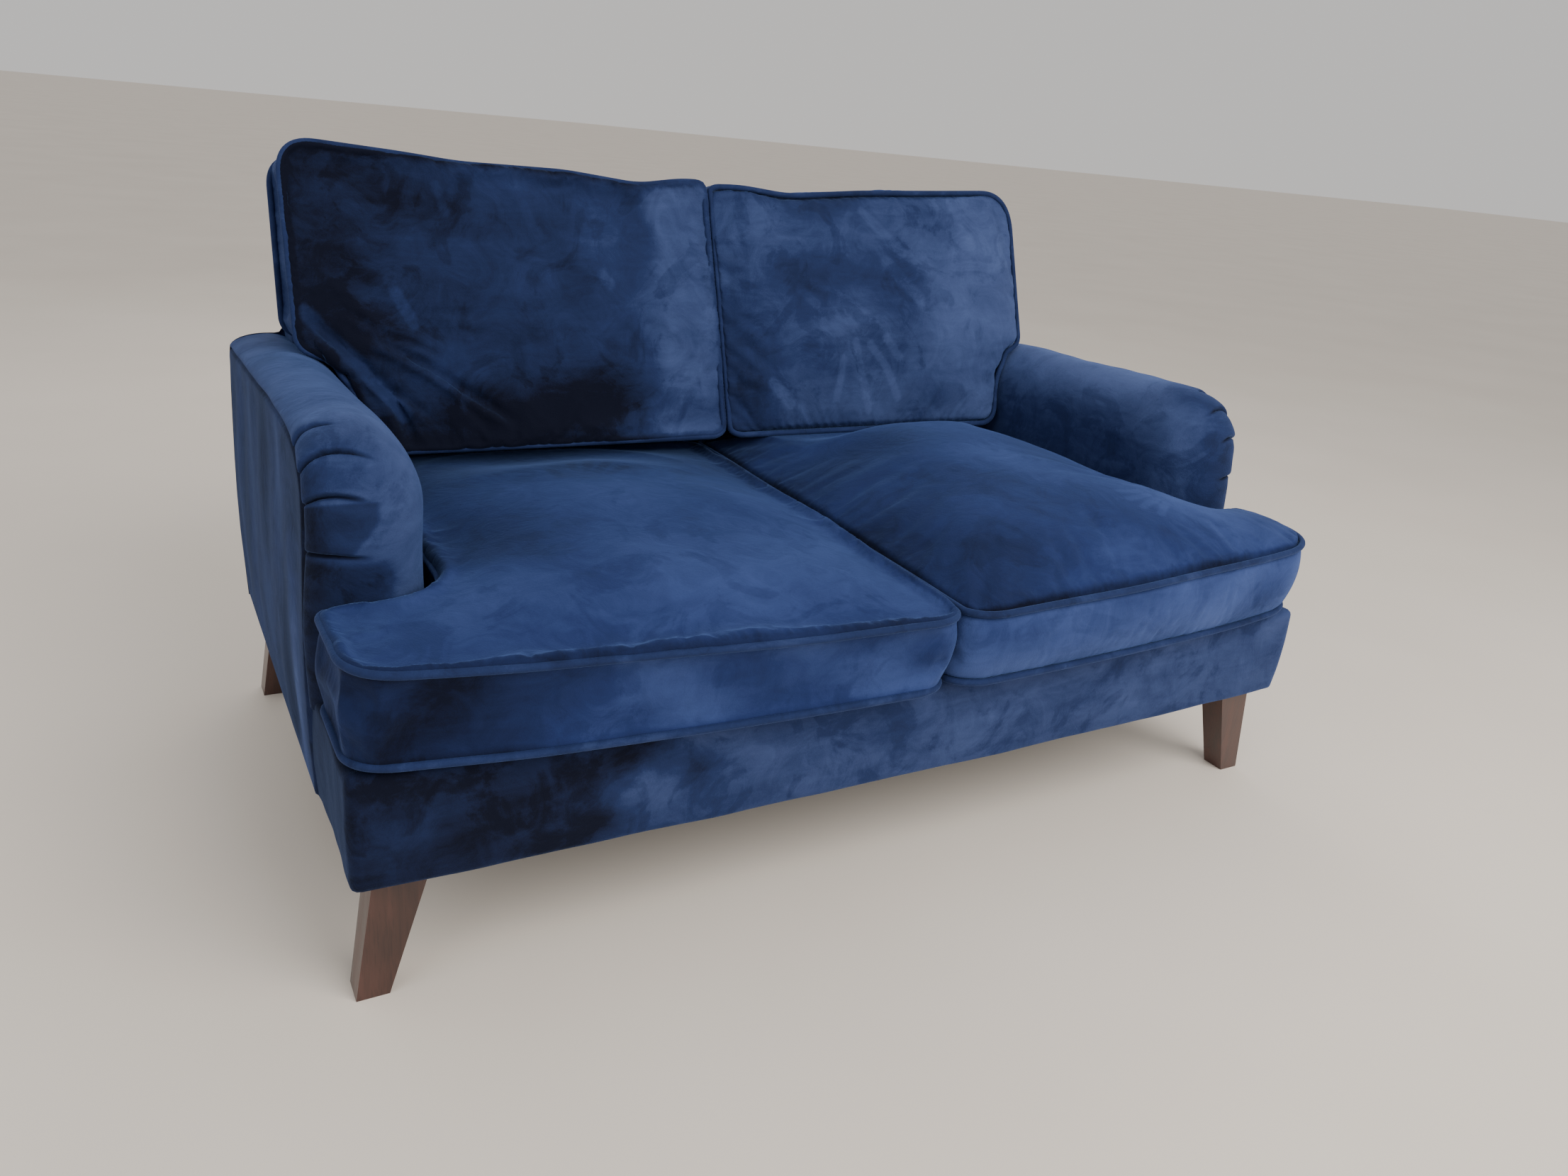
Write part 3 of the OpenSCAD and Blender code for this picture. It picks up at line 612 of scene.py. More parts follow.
def fold(points, path, width, depth, fade=0.05):
    """Height of a soft ridge with a valley on its left, along a short path."""
    path = resampled(path, 5 * MM, False)
    tangent = np.gradient(path, axis=0)
    tangent /= np.linalg.norm(tangent, axis=1)[:, None]
    delta = points[:, None] - path[None]
    far = np.linalg.norm(delta, axis=2)
    k = far.argmin(1)
    rows = np.arange(len(k))
    d = delta[rows, k]
    t = tangent[k]
    across = t[:, 0] * d[:, 1] - t[:, 1] * d[:, 0]
    beyond = np.abs((d * t).sum(1))
    length = len(path) * 5 * MM
    ends = smooth(0, fade, k * 5 * MM) * smooth(0, fade, length - k * 5 * MM) * bell(beyond, fade)
    return depth * ends * (bell(across, width) - 0.75 * bell(across - 1.5 * width, width))


def stroke(points, path, width, strength):
    """Nap brushed along a short path."""
    path = resampled(path, 4 * MM, False)
    near = ((points > path.min(0) - width) & (points < path.max(0) + width)).all(1)
    tone = np.zeros(len(points))
    far = np.linalg.norm(points[near][:, None] - path[None], axis=2).min(1)
    tone[near] = strength * smooth(width * 0.70, width * 0.35, far)
    return tone


def hand(points, x, y, turn, size, strength):
    """The print of a palm and four fingers brushed into the nap."""
    tone = np.zeros(len(points))
    spread = [(-0.42, 0.95), (-0.14, 1.12), (0.14, 1.08), (0.40, 0.88)]
    c, s = math.cos(turn), math.sin(turn)

    def at(u, v):
        return (x + size * (c * u - s * v), y + size * (s * u + c * v))

    for side_step, reach in spread:
        finger = [at(side_step * 0.75, 0.30), at(side_step * 1.25, reach)]
        tone += stroke(points, finger, size * 0.17, strength)
    tone += stroke(points, [at(-0.22, -0.25), at(0.25, -0.10)], size * 0.42, strength * 0.6)
    tone += stroke(points, [at(0.45, -0.25), at(0.72, 0.22)], size * 0.17, strength)
    return tone


def seat_nap(side, local, kind):
    """How a seat cushion's pile lies: lighter or darker patches and the marks of hands."""
    x, y, _ = local.T
    top = kind > 0.5
    plan = local[:, :2]
    depth = y - seat_front
    seed = 301 if side == "left" else 307
    blotch = waves(plan, 0.22, seed)
    if side == "left":
        tone = 0.10 * bell(depth - 0.16, 0.14) - 0.18 * smooth(0.42, 0.62, depth) + 0.06 * blotch
        tone -= 0.24 * bell(x - 0.50, 0.08) * bell(depth - 0.28, 0.10)
        tone += hand(plan, 0.300, seat_front + 0.50, 0.5, 0.080, -0.11)
        boxing = 0.10 - 0.36 * smooth(0.42, 0.60, x) + 0.10 * waves(local, 0.10, seed + 1)
    else:
        tone = 0.14 * smooth(0.36, 0.58, x) - 0.16 * smooth(0.30, 0.05, x) + 0.08 * blotch
        tone += hand(plan, 0.470, seat_front + 0.17, 1.9, 0.070, 0.08)
        boxing = 0.22 + 0.10 * waves(local, 0.10, seed + 1)
    return np.where(top, tone, np.where(kind < -0.5, -0.1, boxing))


def back_nap(side, local, kind):
    """How a back cushion's pile lies, with the swipes and hand prints left in it."""
    x, z, _ = local.T
    face = local[:, :2]
    seed = 311 if side == "left" else 317
    blotch = waves(face * (1, 1.6), 0.16, seed)
    if side == "left":
        tone = 0.34 * smooth(0.150, 0.085, x + 0.03 * waves(face, 0.12, seed + 1)) - 0.12
        tone += 0.08 * bell(x - 0.19, 0.05) - 0.08 * smooth(0.35, 0.50, x)
        tone -= 0.10 * smooth(0.58, 0.52, z) * bell(x - 0.33, 0.12)
        tone -= 0.24 * smooth(0.60, 0.50, z + 0.35 * (x - 0.30)) * smooth(0.12, 0.20, x)
        tone -= 0.14 * smooth(0.46, 0.60, x)
        marks = [([(0.507, 0.661), (0.486, 0.619)], 0.016, 0.17),
                 ([(0.193, 0.690), (0.184, 0.678)], 0.018, 0.12),
                 ([(0.436, 0.806), (0.425, 0.770)], 0.012, 0.08),
                 ([(0.312, 0.790), (0.290, 0.742)], 0.014, 0.06),
                 ([(0.630, 0.634), (0.560, 0.560), (0.512, 0.500)], 0.020, 0.22),
                 ([(0.252, 0.745), (0.210, 0.735), (0.150, 0.742)], 0.012, 0.05)]
    else:
        tone = 0.10 + 0.20 * smooth(0.33, 0.50, x + 0.04 * waves(face, 0.15, seed + 1))
        tone += 0.08 * bell(x - 0.24, 0.12) * smooth(0.66, 0.56, z)
        tone -= 0.12 * bell(x - 0.22, 0.12) * bell(z - 0.72, 0.07)
        tone -= 0.20 * smooth(0.14, 0.05, x) * smooth(0.70, 0.58, z)
        marks = [([(0.290, 0.802), (0.326, 0.761), (0.348, 0.732)], 0.018, 0.08),
                 ([(0.316, 0.716), (0.348, 0.678), (0.376, 0.655)], 0.022, 0.10),
                 ([(0.140, 0.668), (0.166, 0.646)], 0.016, 0.09),
                 ([(0.081, 0.529), (0.114, 0.496)], 0.018, 0.15),
                 ([(0.240, 0.586), (0.255, 0.537), (0.274, 0.479)], 0.013, 0.12),
                 ([(0.269, 0.582), (0.305, 0.544), (0.331, 0.497)], 0.013, 0.12),
                 ([(0.300, 0.593), (0.327, 0.562)], 0.014, 0.11),
                 ([(0.215, 0.560), (0.205, 0.500)], 0.013, 0.10)]
    tone = tone + 0.07 * blotch
    for path, width, strength in marks:
        tone = tone + stroke(face, path, width, strength)
    edge = 0.05 + 0.10 * waves(local, 0.12, seed + 2)
    return np.where(kind > 0.5, tone, np.where(kind < -0.5, -0.1, edge))


def add_piping(name, path, lift, body, node):
    """The round cord sewn into a cushion's seam."""
    cord = tube(name, resampled(path, 6 * MM, True), piping_r, piping_velvet, lift)
    keep(cord, "nap_and_painted_light", np.zeros(len(cord.data.vertices)))
    settle(cord, body, "piping", node)


def seat_outline(side):
    """Plan of a seat cushion's seams, as on the right, with the ear in front of the arm."""
    corner = 0.052 if side == "left" else 0.092
    wall = inner_x - gap
    ear_rear = arm_front - 2 * MM
    line = rounded([(gap, seat_front, 0.058), (ear_x, seat_front, corner), (ear_x, ear_rear, 0.026),
                    (wall, ear_rear, 0.080), (wall, seat_rear, 0.035), (gap, seat_rear, 0.035)],
                   5.5 * MM)
    bow = 42 * MM
    fade = 1 - smooth(seat_front + 0.05, arm_front, line[:, 1])
    line[:, 1] += bow * (line[:, 0] / 0.67) ** 2 * fade
    return line


def arm_wall(y, z):
    """How far out a seat cushion may reach beside an arm, following the arm's rolled front."""
    beside = inner_x - gap + 8 * MM * bell(z - 0.40, 0.05)
    share = np.clip((y - arm_front) / ROLL_IN, 0, 1)
    return crown_x - (crown_x - beside) * np.sqrt(1 - (1 - share) ** 2)


def build_seat(side):
    sign = SIDES[side]
    body = f"seat_cushion_{side}"
    outline = seat_outline(side)
    height = seat_edge_z - seat_low - 2 * piping_r
    seed = 11 if side == "left" else 47
    ear_from = crown_x - 20 * MM

    def edge_lift(x, y):
        lift = lerp(-5 * MM, 7 * MM, np.clip(x / ear_x, 0, 1))
        return lift + 1.6 * MM * waves(np.column_stack([x, y]), 0.30, seed + 5)

    def place(p):
        a, b, c = p.T
        share = c / height
        z = seat_low + piping_r + c + share * edge_lift(a, b) * smooth(0, 1, share)
        z += (1 - np.clip(share, 0, 1)) * lerp(0, 5 * MM, smooth(0.5, 0.7, a))
        lean = lerp(16 * MM, 0, np.clip(share, 0, 1)) * (1 - smooth(seat_front, seat_front + 0.12, b))
        return np.column_stack([sign * a, b + lean, z])

    def shape(points, local):
        """Keeps the cushion off the deck, its neighbour, the arm and the back cushion."""
        x, y, z = sign * points[:, 0], points[:, 1].copy(), points[:, 2].copy()
        x = np.maximum(x, gap)
        ear = local[:, 0] > ear_from
        y = np.where(ear, np.minimum(y, arm_front - 1 * MM), y)
        x = np.where(~ear & (y > arm_front), np.minimum(x, arm_wall(y, z)), x)
        z = np.maximum(z, seat_low + 0.5 * MM)
        under = smooth(face_y - 0.10, face_y + 0.02, y)
        over = np.maximum(z - (REST_Z - 2.5 * MM), 0)
        z = z - over * under * (local[:, 2] > height * 0.5)
        return np.column_stack([sign * x, y, z])

    obj = cushion(f"seat_cushion_cloth_{side}", outline, height, 10, 8.2 * MM, place, 68 * MM, 0.62,
                  1 * MM, 10 * MM, seat_velvet_painted_sheen, 4.0, 0.008, 22 * MM, shape)
    local, kind, top_far, low_far, along = seam_marks(obj, outline, height)
    points, normal = coords(obj), vertex_normals(obj)
    rise = pucker(top_far, along, seed + 20, 0.030, 0.7 * MM, 0.022)
    rise += pucker(low_far, along, seed + 30, 0.034, 1.0 * MM, 0.020)
    rise += 1.5 * MM * waves(points, 0.16, seed + 40) * smooth(0, 0.05, np.minimum(top_far, low_far))
    rise -= 4.0 * MM * bell(np.minimum(top_far, low_far), 4.5 * MM)
    set_coords(obj, shape(points + normal * rise[:, None], local))
    # Tone darkened within about 5 mm of the seams: painted shade in the groove beside the piping.
    keep(obj, "nap_and_painted_light", seat_nap(side, local, kind) - 0.30 * bell(np.minimum(top_far, low_far), 5 * MM))
    settle(obj, body, "cushion_velvet", f"seat_cover_{side}", f"seat_core_{side}")
    out = normals_of(outline)
    for level, label in ((height, "top"), (0.0, "bottom")):
        path = place(np.column_stack([outline + out * 2.4 * MM, np.full(len(outline), level)]))
        limits = np.abs(path[:, 0])
        clear = gap + piping_r
        limits = np.maximum(limits, clear)
        ear = limits > ear_from
        path[:, 1] = np.where(ear, np.minimum(path[:, 1], arm_front - 1.2 * piping_r), path[:, 1])
        reach = arm_wall(path[:, 1], path[:, 2]) - clear
        limits = np.where(~ear & (path[:, 1] > arm_front), np.minimum(limits, reach), limits)
        path[:, 0] = sign * limits
        add_piping(f"seat_piping_{label}_cloth_{side}", path, (0, 0, 1), body, f"seat_piping_{label}_{side}")


def back_face(z):
    """Where the fixed back's front lies at a height."""
    return front_y + SEAT_DEPTH + (z - 0.300) * math.tan(INNER_RAKE)


def arm_height(x):
    """How far an arm's surface lies below its crown line at x, for the inner roll."""
    t = np.clip((crown_x - np.asarray(x, float)) / (crown_x - inner_x), 0, 1)
    return ROLL_IN * (1 - np.sqrt(np.maximum(1 - t * t, 0)))


def back_outline(side):
    """Front view of a back cushion's seams, for the right-hand side."""
    if side == "left":
        corners = [(gap, 0.831, 0.020), (gap, cushion_low, 0.030), (0.560, cushion_low, 0.035),
                   (0.566, 0.505, 0.02), (0.598, 0.574, 0.025), (0.642, 0.590, 0.022), (0.640, 0.852, 0.045)]
        tops = ([0.0, 0.04, 0.12, 0.24, 0.40, 0.48, 0.62], [0, 0, -14, -6, -10, -5, 0])
    else:
        corners = [(gap, 0.826, 0.022), (gap, cushion_low, 0.030), (0.560, cushion_low, 0.035),
                   (0.566, 0.505, 0.02), (0.598, 0.574, 0.025), (0.632, 0.590, 0.024), (0.628, 0.849, 0.062)]
        tops = ([0.0, 0.06, 0.15, 0.30, 0.45, 0.62], [0, 0, -12, -5, -3, 0])
    line = rounded(corners, 5.5 * MM)
    sag = np.interp(line[:, 0], tops[0], np.array(tops[1]) * MM)
    sag = np.convolve(np.concatenate([sag[-4:], sag, sag[:4]]), np.ones(9) / 9, "valid")
    line[:, 1] += sag * smooth(0.77, 0.81, line[:, 1])
    floor = arm_top - arm_drop(front_y + 0.64) - arm_height(line[:, 0]) + 3 * MM
    reach = line[:, 0] > inner_x + 2 * MM
    line[:, 1] = np.where(reach, np.maximum(line[:, 1], floor), line[:, 1])
    return line


def build_back(side):
    sign = SIDES[side]
    body = f"back_cushion_{side}"
    outline = back_outline(side)
    height = 0.10
    seed = 83 if side == "left" else 131
    drop_from, drop = arm_top + 24 * MM, 28 * MM

    def planes(b):
        front = face_y + (b - face_z) * math.tan(RECLINE)
        rear_z = b - drop * np.maximum(0, (b - drop_from) / (cushion_top - drop_from))
        rear = back_face(rear_z) - 2 * MM
        return front, rear, rear_z

    def place(p):
        a, b, c = p.T
        front, rear, rear_z = planes(b)
        share = np.clip(c / height, 0, 1)
        y = lerp(rear, front, share)
        z = lerp(rear_z, b, share)
        over = np.maximum(c - height, 0) + np.minimum(c, 0)
        y -= over * math.cos(RECLINE)
        z += over * math.sin(RECLINE) * (c > height)
        return np.column_stack([sign * a, y, z])

    def shape(points, local):
        x, y, z = sign * points[:, 0], points[:, 1].copy(), points[:, 2].copy()
        x = np.maximum(x, gap)
        floor = arm_top - arm_drop(y) - arm_height(x) + 1 * MM
        beside = (z < 0.56) & (local[:, 1] < 0.56)
        x = np.where(beside, np.minimum(x, inner_x - gap + np.maximum(0, z - 0.49) * 0.3), x)
        over_arm = (x > inner_x + 1 * MM) & ~beside
        z = np.where(over_arm, np.maximum(z, floor), z)
        z = np.maximum(z, REST_Z)
        y = np.minimum(y, back_face(z) - 1.5 * MM)
        return np.column_stack([sign * x, y, z])

    obj = cushion(f"back_cushion_cloth_{side}", outline, height, 14, 8.0 * MM, place, 30 * MM, 0.66,
                  2 * MM, 7 * MM, back_velvet, 4.0, 0.025, 22 * MM, shape)
    local, kind, top_far, low_far, along = seam_marks(obj, outline, height)
    points, normal = coords(obj), vertex_normals(obj)
    near_top = smooth(0.70, 0.78, local[:, 1])
    rise = pucker(top_far, along, seed + 20, 0.019, 2.4 * MM, 0.030) * (0.35 + 0.65 * near_top)
    rise += pucker(low_far, along, seed + 30, 0.030, 1.2 * MM, 0.020)
    rise += 1.8 * MM * waves(points, 0.13, seed + 40) * smooth(0, 0.05, np.minimum(top_far, low_far))
    rise -= 4.0 * MM * bell(np.minimum(top_far, low_far), 4.5 * MM)
    front = smooth(0.3, 0.9, kind)
    face = local[:, :2]
    if side == "left":
        folds = [([(0.636, 0.640), (0.600, 0.603), (0.567, 0.570), (0.526, 0.526), (0.500, 0.455)],
                  0.010, 11 * MM),
                 ([(0.566, 0.615), (0.471, 0.562), (0.384, 0.507), (0.345, 0.480)], 0.008, 8.5 * MM),
                 ([(0.596, 0.648), (0.530, 0.606), (0.452, 0.578)], 0.006, 3.5 * MM),
                 ([(0.560, 0.548), (0.505, 0.520), (0.462, 0.482)], 0.006, 4 * MM),
                 ([(0.620, 0.720), (0.520, 0.640), (0.420, 0.600)], 0.016, 3 * MM),
                 ([(0.396, 0.660), (0.404, 0.580), (0.412, 0.500)], 0.006, 1.5 * MM),
                 ([(0.497, 0.636), (0.393, 0.631), (0.246, 0.637)], 0.007, 1.2 * MM)]
    else:
        folds = [([(0.006, 0.636), (0.040, 0.611), (0.080, 0.580)], 0.009, 4 * MM),
                 ([(0.004, 0.600), (0.034, 0.572), (0.090, 0.520)], 0.009, 4 * MM),
                 ([(0.004, 0.558), (0.050, 0.535), (0.100, 0.500)], 0.009, 3 * MM),
                 ([(0.186, 0.616), (0.263, 0.616), (0.338, 0.630), (0.396, 0.648)], 0.007, 1.2 * MM),
                 ([(0.600, 0.570), (0.540, 0.540), (0.480, 0.530)], 0.012, 2.5 * MM)]
    for path, width, depth in folds:
        rise += fold(face, path, width, depth) * front
    set_coords(obj, shape(points + normal * rise[:, None], local))
    # Tone darkened within about 5 mm of the seams: painted shade in the groove beside the piping.
    keep(obj, "nap_and_painted_light", back_nap(side, local, kind) - 0.30 * bell(np.minimum(top_far, low_far), 5 * MM))
    settle(obj, body, "cushion_velvet", f"cushion_cover_{side}", f"back_core_{side}")
    out = normals_of(outline)
    lifts = {"front": (0, -math.cos(RECLINE), math.sin(RECLINE)),
             "rear": (0, -math.cos(INNER_RAKE), math.sin(INNER_RAKE))}
    for level, label in ((height, "front"), (0.0, "rear")):
        path = place(np.column_stack([outline + out * 2.4 * MM, np.full(len(outline), level)]))
        if label == "rear":
            path[:, 1] -= piping_r
        path[:, 0] = sign * np.maximum(np.abs(path[:, 0]), gap + piping_r)
        add_piping(f"back_piping_{label}_cloth_{side}", path, lifts[label], body, f"back_piping_{label}_{side}")


# ---- arms --------------------------------------------------------------------------
ARM_FALL = 30 * MM                        # how far an arm's top falls to the rear
ARM_TURN = 125 * MM                       # radius of its top front corner
ROLL_IN = 0.10                            # depth of the roll on the inner side
SEAM_IN = 11 * MM                         # how far the top of an outer side leans in
PLEAT_ZONE = 0.40                         # length of the profile that is finely meshed
arm_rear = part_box("arm_cover_right")[1].y - 1 * MM


def outer_face(z):
    return lerp(outer_low_y, outer_top_y, (z - base_z) / (back_z - base_z))


def arm_drop(y):
    """How far an arm's crown line at y lies below its highest point."""
    share = np.clip((np.asarray(y, float) - arm_front - ARM_TURN) / (arm_rear - arm_front - ARM_TURN), 0, 1)
    return ARM_FALL * share ** 1.6


def arm_profile():
    """Crown line up an arm's front and back along its top: points, inward normals, lengths."""
    line = rounded([(arm_front, arm_low, 0), (arm_front, arm_top, ARM_TURN), (arm_rear, arm_top, 0)],
                   1 * MM, closed=False)
    line[:, 1] -= arm_drop(line[:, 0])
    along = np.concatenate([[0], np.cumsum(np.linalg.norm(np.diff(line, axis=0), axis=1))])
    at = np.concatenate([np.arange(0, PLEAT_ZONE, 1.4 * MM),
                         np.arange(PLEAT_ZONE, along[-1] - 3 * MM, 7 * MM), along[-1:]])
    points = np.stack([np.interp(at, along, line[:, i]) for i in (0, 1)], 1)
    tangent = np.gradient(line, axis=0)
    tangent = np.stack([np.convolve(np.pad(tangent[:, i], 6, "edge"), np.ones(13) / 13, "valid")
                        for i in (0, 1)], 1)
    tangent /= np.linalg.norm(tangent, axis=1)[:, None]
    tangent = np.stack([np.interp(at, along, tangent[:, i]) for i in (0, 1)], 1)
    return points, np.column_stack([tangent[:, 1], -tangent[:, 0]]), at


def seam_depth(along):
    """How far the outer seam lies below the crown line, from the front to the top."""
    front = arm_top - arm_low - ARM_TURN
    return lerp(45 * MM, 22 * MM, smooth(front, front + 2 * ARM_TURN, along))


# Pleats from the outer seam: height up the profile, rise at their end, arch, length, depth
PLEATS = [(0.184, 0.002, 0.003, 0.085, 5.0 * MM), (0.250, -0.003, 0.008, 0.088, 7.0 * MM),
          (0.300, -0.004, 0.012, 0.098, 7.5 * MM), (0.350, 0.006, 0.012, 0.068, 6.5 * MM)]


def pleats(along, width):
    """Cloth folded down over itself beside the outer seam: height of the surface."""
    rise = np.zeros(np.broadcast(along, width).shape)
    for start, end_rise, arch, length, deep in PLEATS:
        share = width / length
        line = start + end_rise * np.minimum(share, 1) + arch * np.sin(np.clip(share, 0, 1) * math.pi)
        t = along - line
        fade = smooth(1.1, 0.55, share) * lerp(0.35, 1, smooth(0, 0.022, width))
        lip = 0.34 * deep * smooth(-1.5 * MM, 4 * MM, t) * bell(np.maximum(t, 0), 0.022)
        slit = deep * bell(t + 1.2 * MM, 2.1 * MM)
        under = 0.25 * deep * bell(t + 6 * MM, 0.010)
        rise = rise + (lip - slit - under) * fade
    return rise


def build_arm(side):
    sign = SIDES[side]
    seed = 7 if side == "left" else 29
    points, inward, along = arm_profile()
    turn = np.linspace(0, math.pi / 2, 30)
    outer = np.column_stack([np.cos(turn), 1 - np.sin(turn), np.zeros(30)])
    turn = np.linspace(0, math.pi / 2, 44)[1:]
    inner = np.column_stack([-np.sin(turn), np.zeros(43), 1 - np.cos(turn)])
    section = np.vstack([outer, inner])
    seam = seam_depth(along)
    face_x = inner_x + 11 * MM
    edge_x = side_face((points + inward * seam[:, None])[:, 1:])
    rx = np.where(section[:, 0] > 0, edge_x - crown_x, crown_x - face_x)
    x = crown_x + section[:, 0] * rx
    depth = seam[:, None] * section[:, 1] + ROLL_IN * section[:, 2]
    middle = len(along) // 3
    width = np.concatenate([[0], np.cumsum(np.hypot(np.diff(x[middle]), np.diff(depth[middle])))])
    y = points[:, :1] + inward[:, :1] * depth
    z = points[:, 1:] + inward[:, 1:] * depth
    y += smooth(0.25, arm_rear, y) * (outer_face(z) - 3 * MM - arm_rear)
    grid = np.stack([x, y, z], 2)
    du, dv = np.gradient(grid, axis=0), np.gradient(grid, axis=1)
    normal = np.cross(du, dv)
    normal /= np.linalg.norm(normal, axis=2)[..., None]
    flat = grid.reshape(-1, 3)
    soft = 1.8 * MM * waves(flat, 0.16, seed) + 0.6 * MM * waves(flat, 0.06, seed + 1)
    open_end = smooth(0, 6 * MM, width) * smooth(0, 12 * MM, width[-1] - width)
    rise = (pleats(along[:, None], width) + soft.reshape(depth.shape)) * open_end
    rise -= 5 * MM * bell(width, 3.5 * MM)
    grid = grid + normal * rise[..., None]
    rows, columns = grid.shape[:2]
    faces = [(i * columns + j, (i + 1) * columns + j, (i + 1) * columns + j + 1, i * columns + j + 1)
             for i in range(rows - 1) for j in range(columns - 1)]
    edge = grid[:, -1, 1:]
    last = np.arange(rows) * columns + columns - 1
    under_z = deck_z - 5 * MM
    rim = np.vstack([edge, [(outer_face(under_z) - 3 * MM, under_z), (edge[0, 0], under_z)]])
    clear = np.concatenate([[True], np.hypot(*np.diff(rim, axis=0).T) > 0.2 * MM])
    face_points, face_list = panel(rim[clear][::-1], 14 * MM, (6 * MM,))
    first = rows * columns
    names = np.concatenate([np.append(last, [first, first + 1])[clear][::-1],
                            first + 2 + np.arange(len(face_points) - clear.sum())])
    far, _ = nearest(rim[clear], face_points)
    bulge = 1.2 * MM * waves(face_points, 0.14, seed + 2) * smooth(0, 0.05, far)
    inner_face = np.column_stack([face_x - bulge, face_points])
    added = np.vstack([np.column_stack([[face_x, face_x], rim[-2:]]), inner_face[clear.sum():]])
    faces += [tuple(int(names[v]) for v in reversed(face)) for face in face_list]
    everything = np.vstack([grid.reshape(-1, 3), added]) * (sign, 1, 1)
    obj = new_object(f"arm_cloth_{side}", everything, faces, body_velvet, flip=sign < 0)
    keep(obj, "nap_and_painted_light", arm_painted_shading(side, along, width, len(everything)))
    settle(obj, "frame", "velvet", f"arm_cover_{side}", f"arm_padding_{side}")
    build_outer_arm(side, sign, points, inward, along)


def arm_painted_shading(side, along, width, count):
    """Painted light and shade on the arm cloth: dark in and under the pleats, light over the crown and the
    roll.
    """
    u, v = along[:, None], width[None]
    # Painted highlight over the crown and along the inner roll.
    tone = 0.12 * smooth(0.30, 0.42, u) * bell(v - 0.085, 0.07) + 0.16 * bell(v - 0.150, 0.045)
    # Painted shade: a dark line along each pleat's slit.
    for start, end_rise, arch, length, _ in PLEATS:
        share = v / length
        line = start + end_rise * np.minimum(share, 1) + arch * np.sin(np.clip(share, 0, 1) * math.pi)
        tone = tone - 0.50 * bell(u - line + 1.5 * MM, 2.6 * MM) * smooth(1.1, 0.75, share)
    low, high = PLEATS[0][0], PLEATS[1][0]
    if side == "left":
        # Left arm: painted light on the front, painted shade between and below the lowest pleats.
        tone = tone + 0.10 * smooth(0.45, 0.40, u) * smooth(0.02, 0.05, v)
        reach = 0.098 - 0.9 * np.maximum(0, high - 0.025 - u)
        wedge = smooth(low + 2 * MM, low + 6 * MM, u) * smooth(high - 3 * MM, high - 7 * MM, u)
        tone = tone - 0.26 * wedge * smooth(reach + 5 * MM, reach - 5 * MM, v)
        tone = tone - 0.30 * smooth(low, low - 0.012, u) * smooth(0.125, 0.09, v)
        tone = tone - 0.10 * smooth(high, high + 0.02, u) * smooth(0.302, 0.290, u) * smooth(0.10, 0.06, v)
    else:
        # Right arm: painted highlight over the top and the inner roll, painted shade low on the front.
        tone = tone + 0.30 * smooth(0.36, 0.46, u) * smooth(0.17, 0.11, v) + 0.08 * smooth(0.11, 0.17, v)
        tone = tone - 0.06 * smooth(0.30, 0.22, u) * smooth(0.04, 0.07, v)
    tone = np.broadcast_to(tone, (len(along), len(width))).ravel()
    return np.concatenate([tone, np.full(count - len(tone), -0.10 if side == "left" else 0.05)])


def side_face(z):
    """How far out the sofa's outer side lies at a height."""
    share = (z - base_z) / (arm_top - base_z)
    return side_x - 1 * MM - (SEAM_IN - 1 * MM) * smooth(0.30, 1.05, share) - 3 * MM * smooth(0.25, 0.0, share)


def build_outer_arm(side, sign, points, inward, along):
    seed = 61 if side == "left" else 67
    edge = points + inward * seam_depth(along)[:, None]
    edge = edge[along > 20 * MM]
    rear = [(outer_face(z) - 4 * MM, z) for z in np.linspace(edge[-1, 1], base_z, 12)]
    outline = np.vstack([[(edge[0, 0], base_z)], edge, rear])[::-1]
    outline = resampled(outline, 5 * MM, True)
    flat, faces = panel(outline, 11 * MM)
    far, _ = nearest(outline, flat)
    y, z = flat.T
    share = (z - base_z) / (arm_top - base_z)
    x = side_face(z)
    stretched = np.column_stack([y, z * 0.35])
    loose = 1.4 * MM * waves(stretched, 0.09, seed) + 0.8 * MM * waves(flat, 0.2, seed + 1)
    x += loose * smooth(0, 0.04, far)
    x -= 5 * MM * bell(far, 3.5 * MM)
    obj = new_object(f"outer_arm_cloth_{side}", np.column_stack([sign * x, y, z]), faces, body_velvet,
                     flip=sign < 0)
    # Outer side: painted darker all over as painted shade, with a painted highlight streak near its front edge
    # (light); streaks are random pile tone.
    streaks = 0.13 * waves(np.column_stack([y, z * 0.22]), 0.10, seed + 3)
    light = 0.34 * bell(y - front_y - lerp(0.24, 0.30, share), 0.030) * smooth(0.85, 0.3, share)
    keep(obj, "nap_and_painted_light", -0.26 + streaks + light)
    settle(obj, "frame", "velvet", f"outer_arm_{side}")


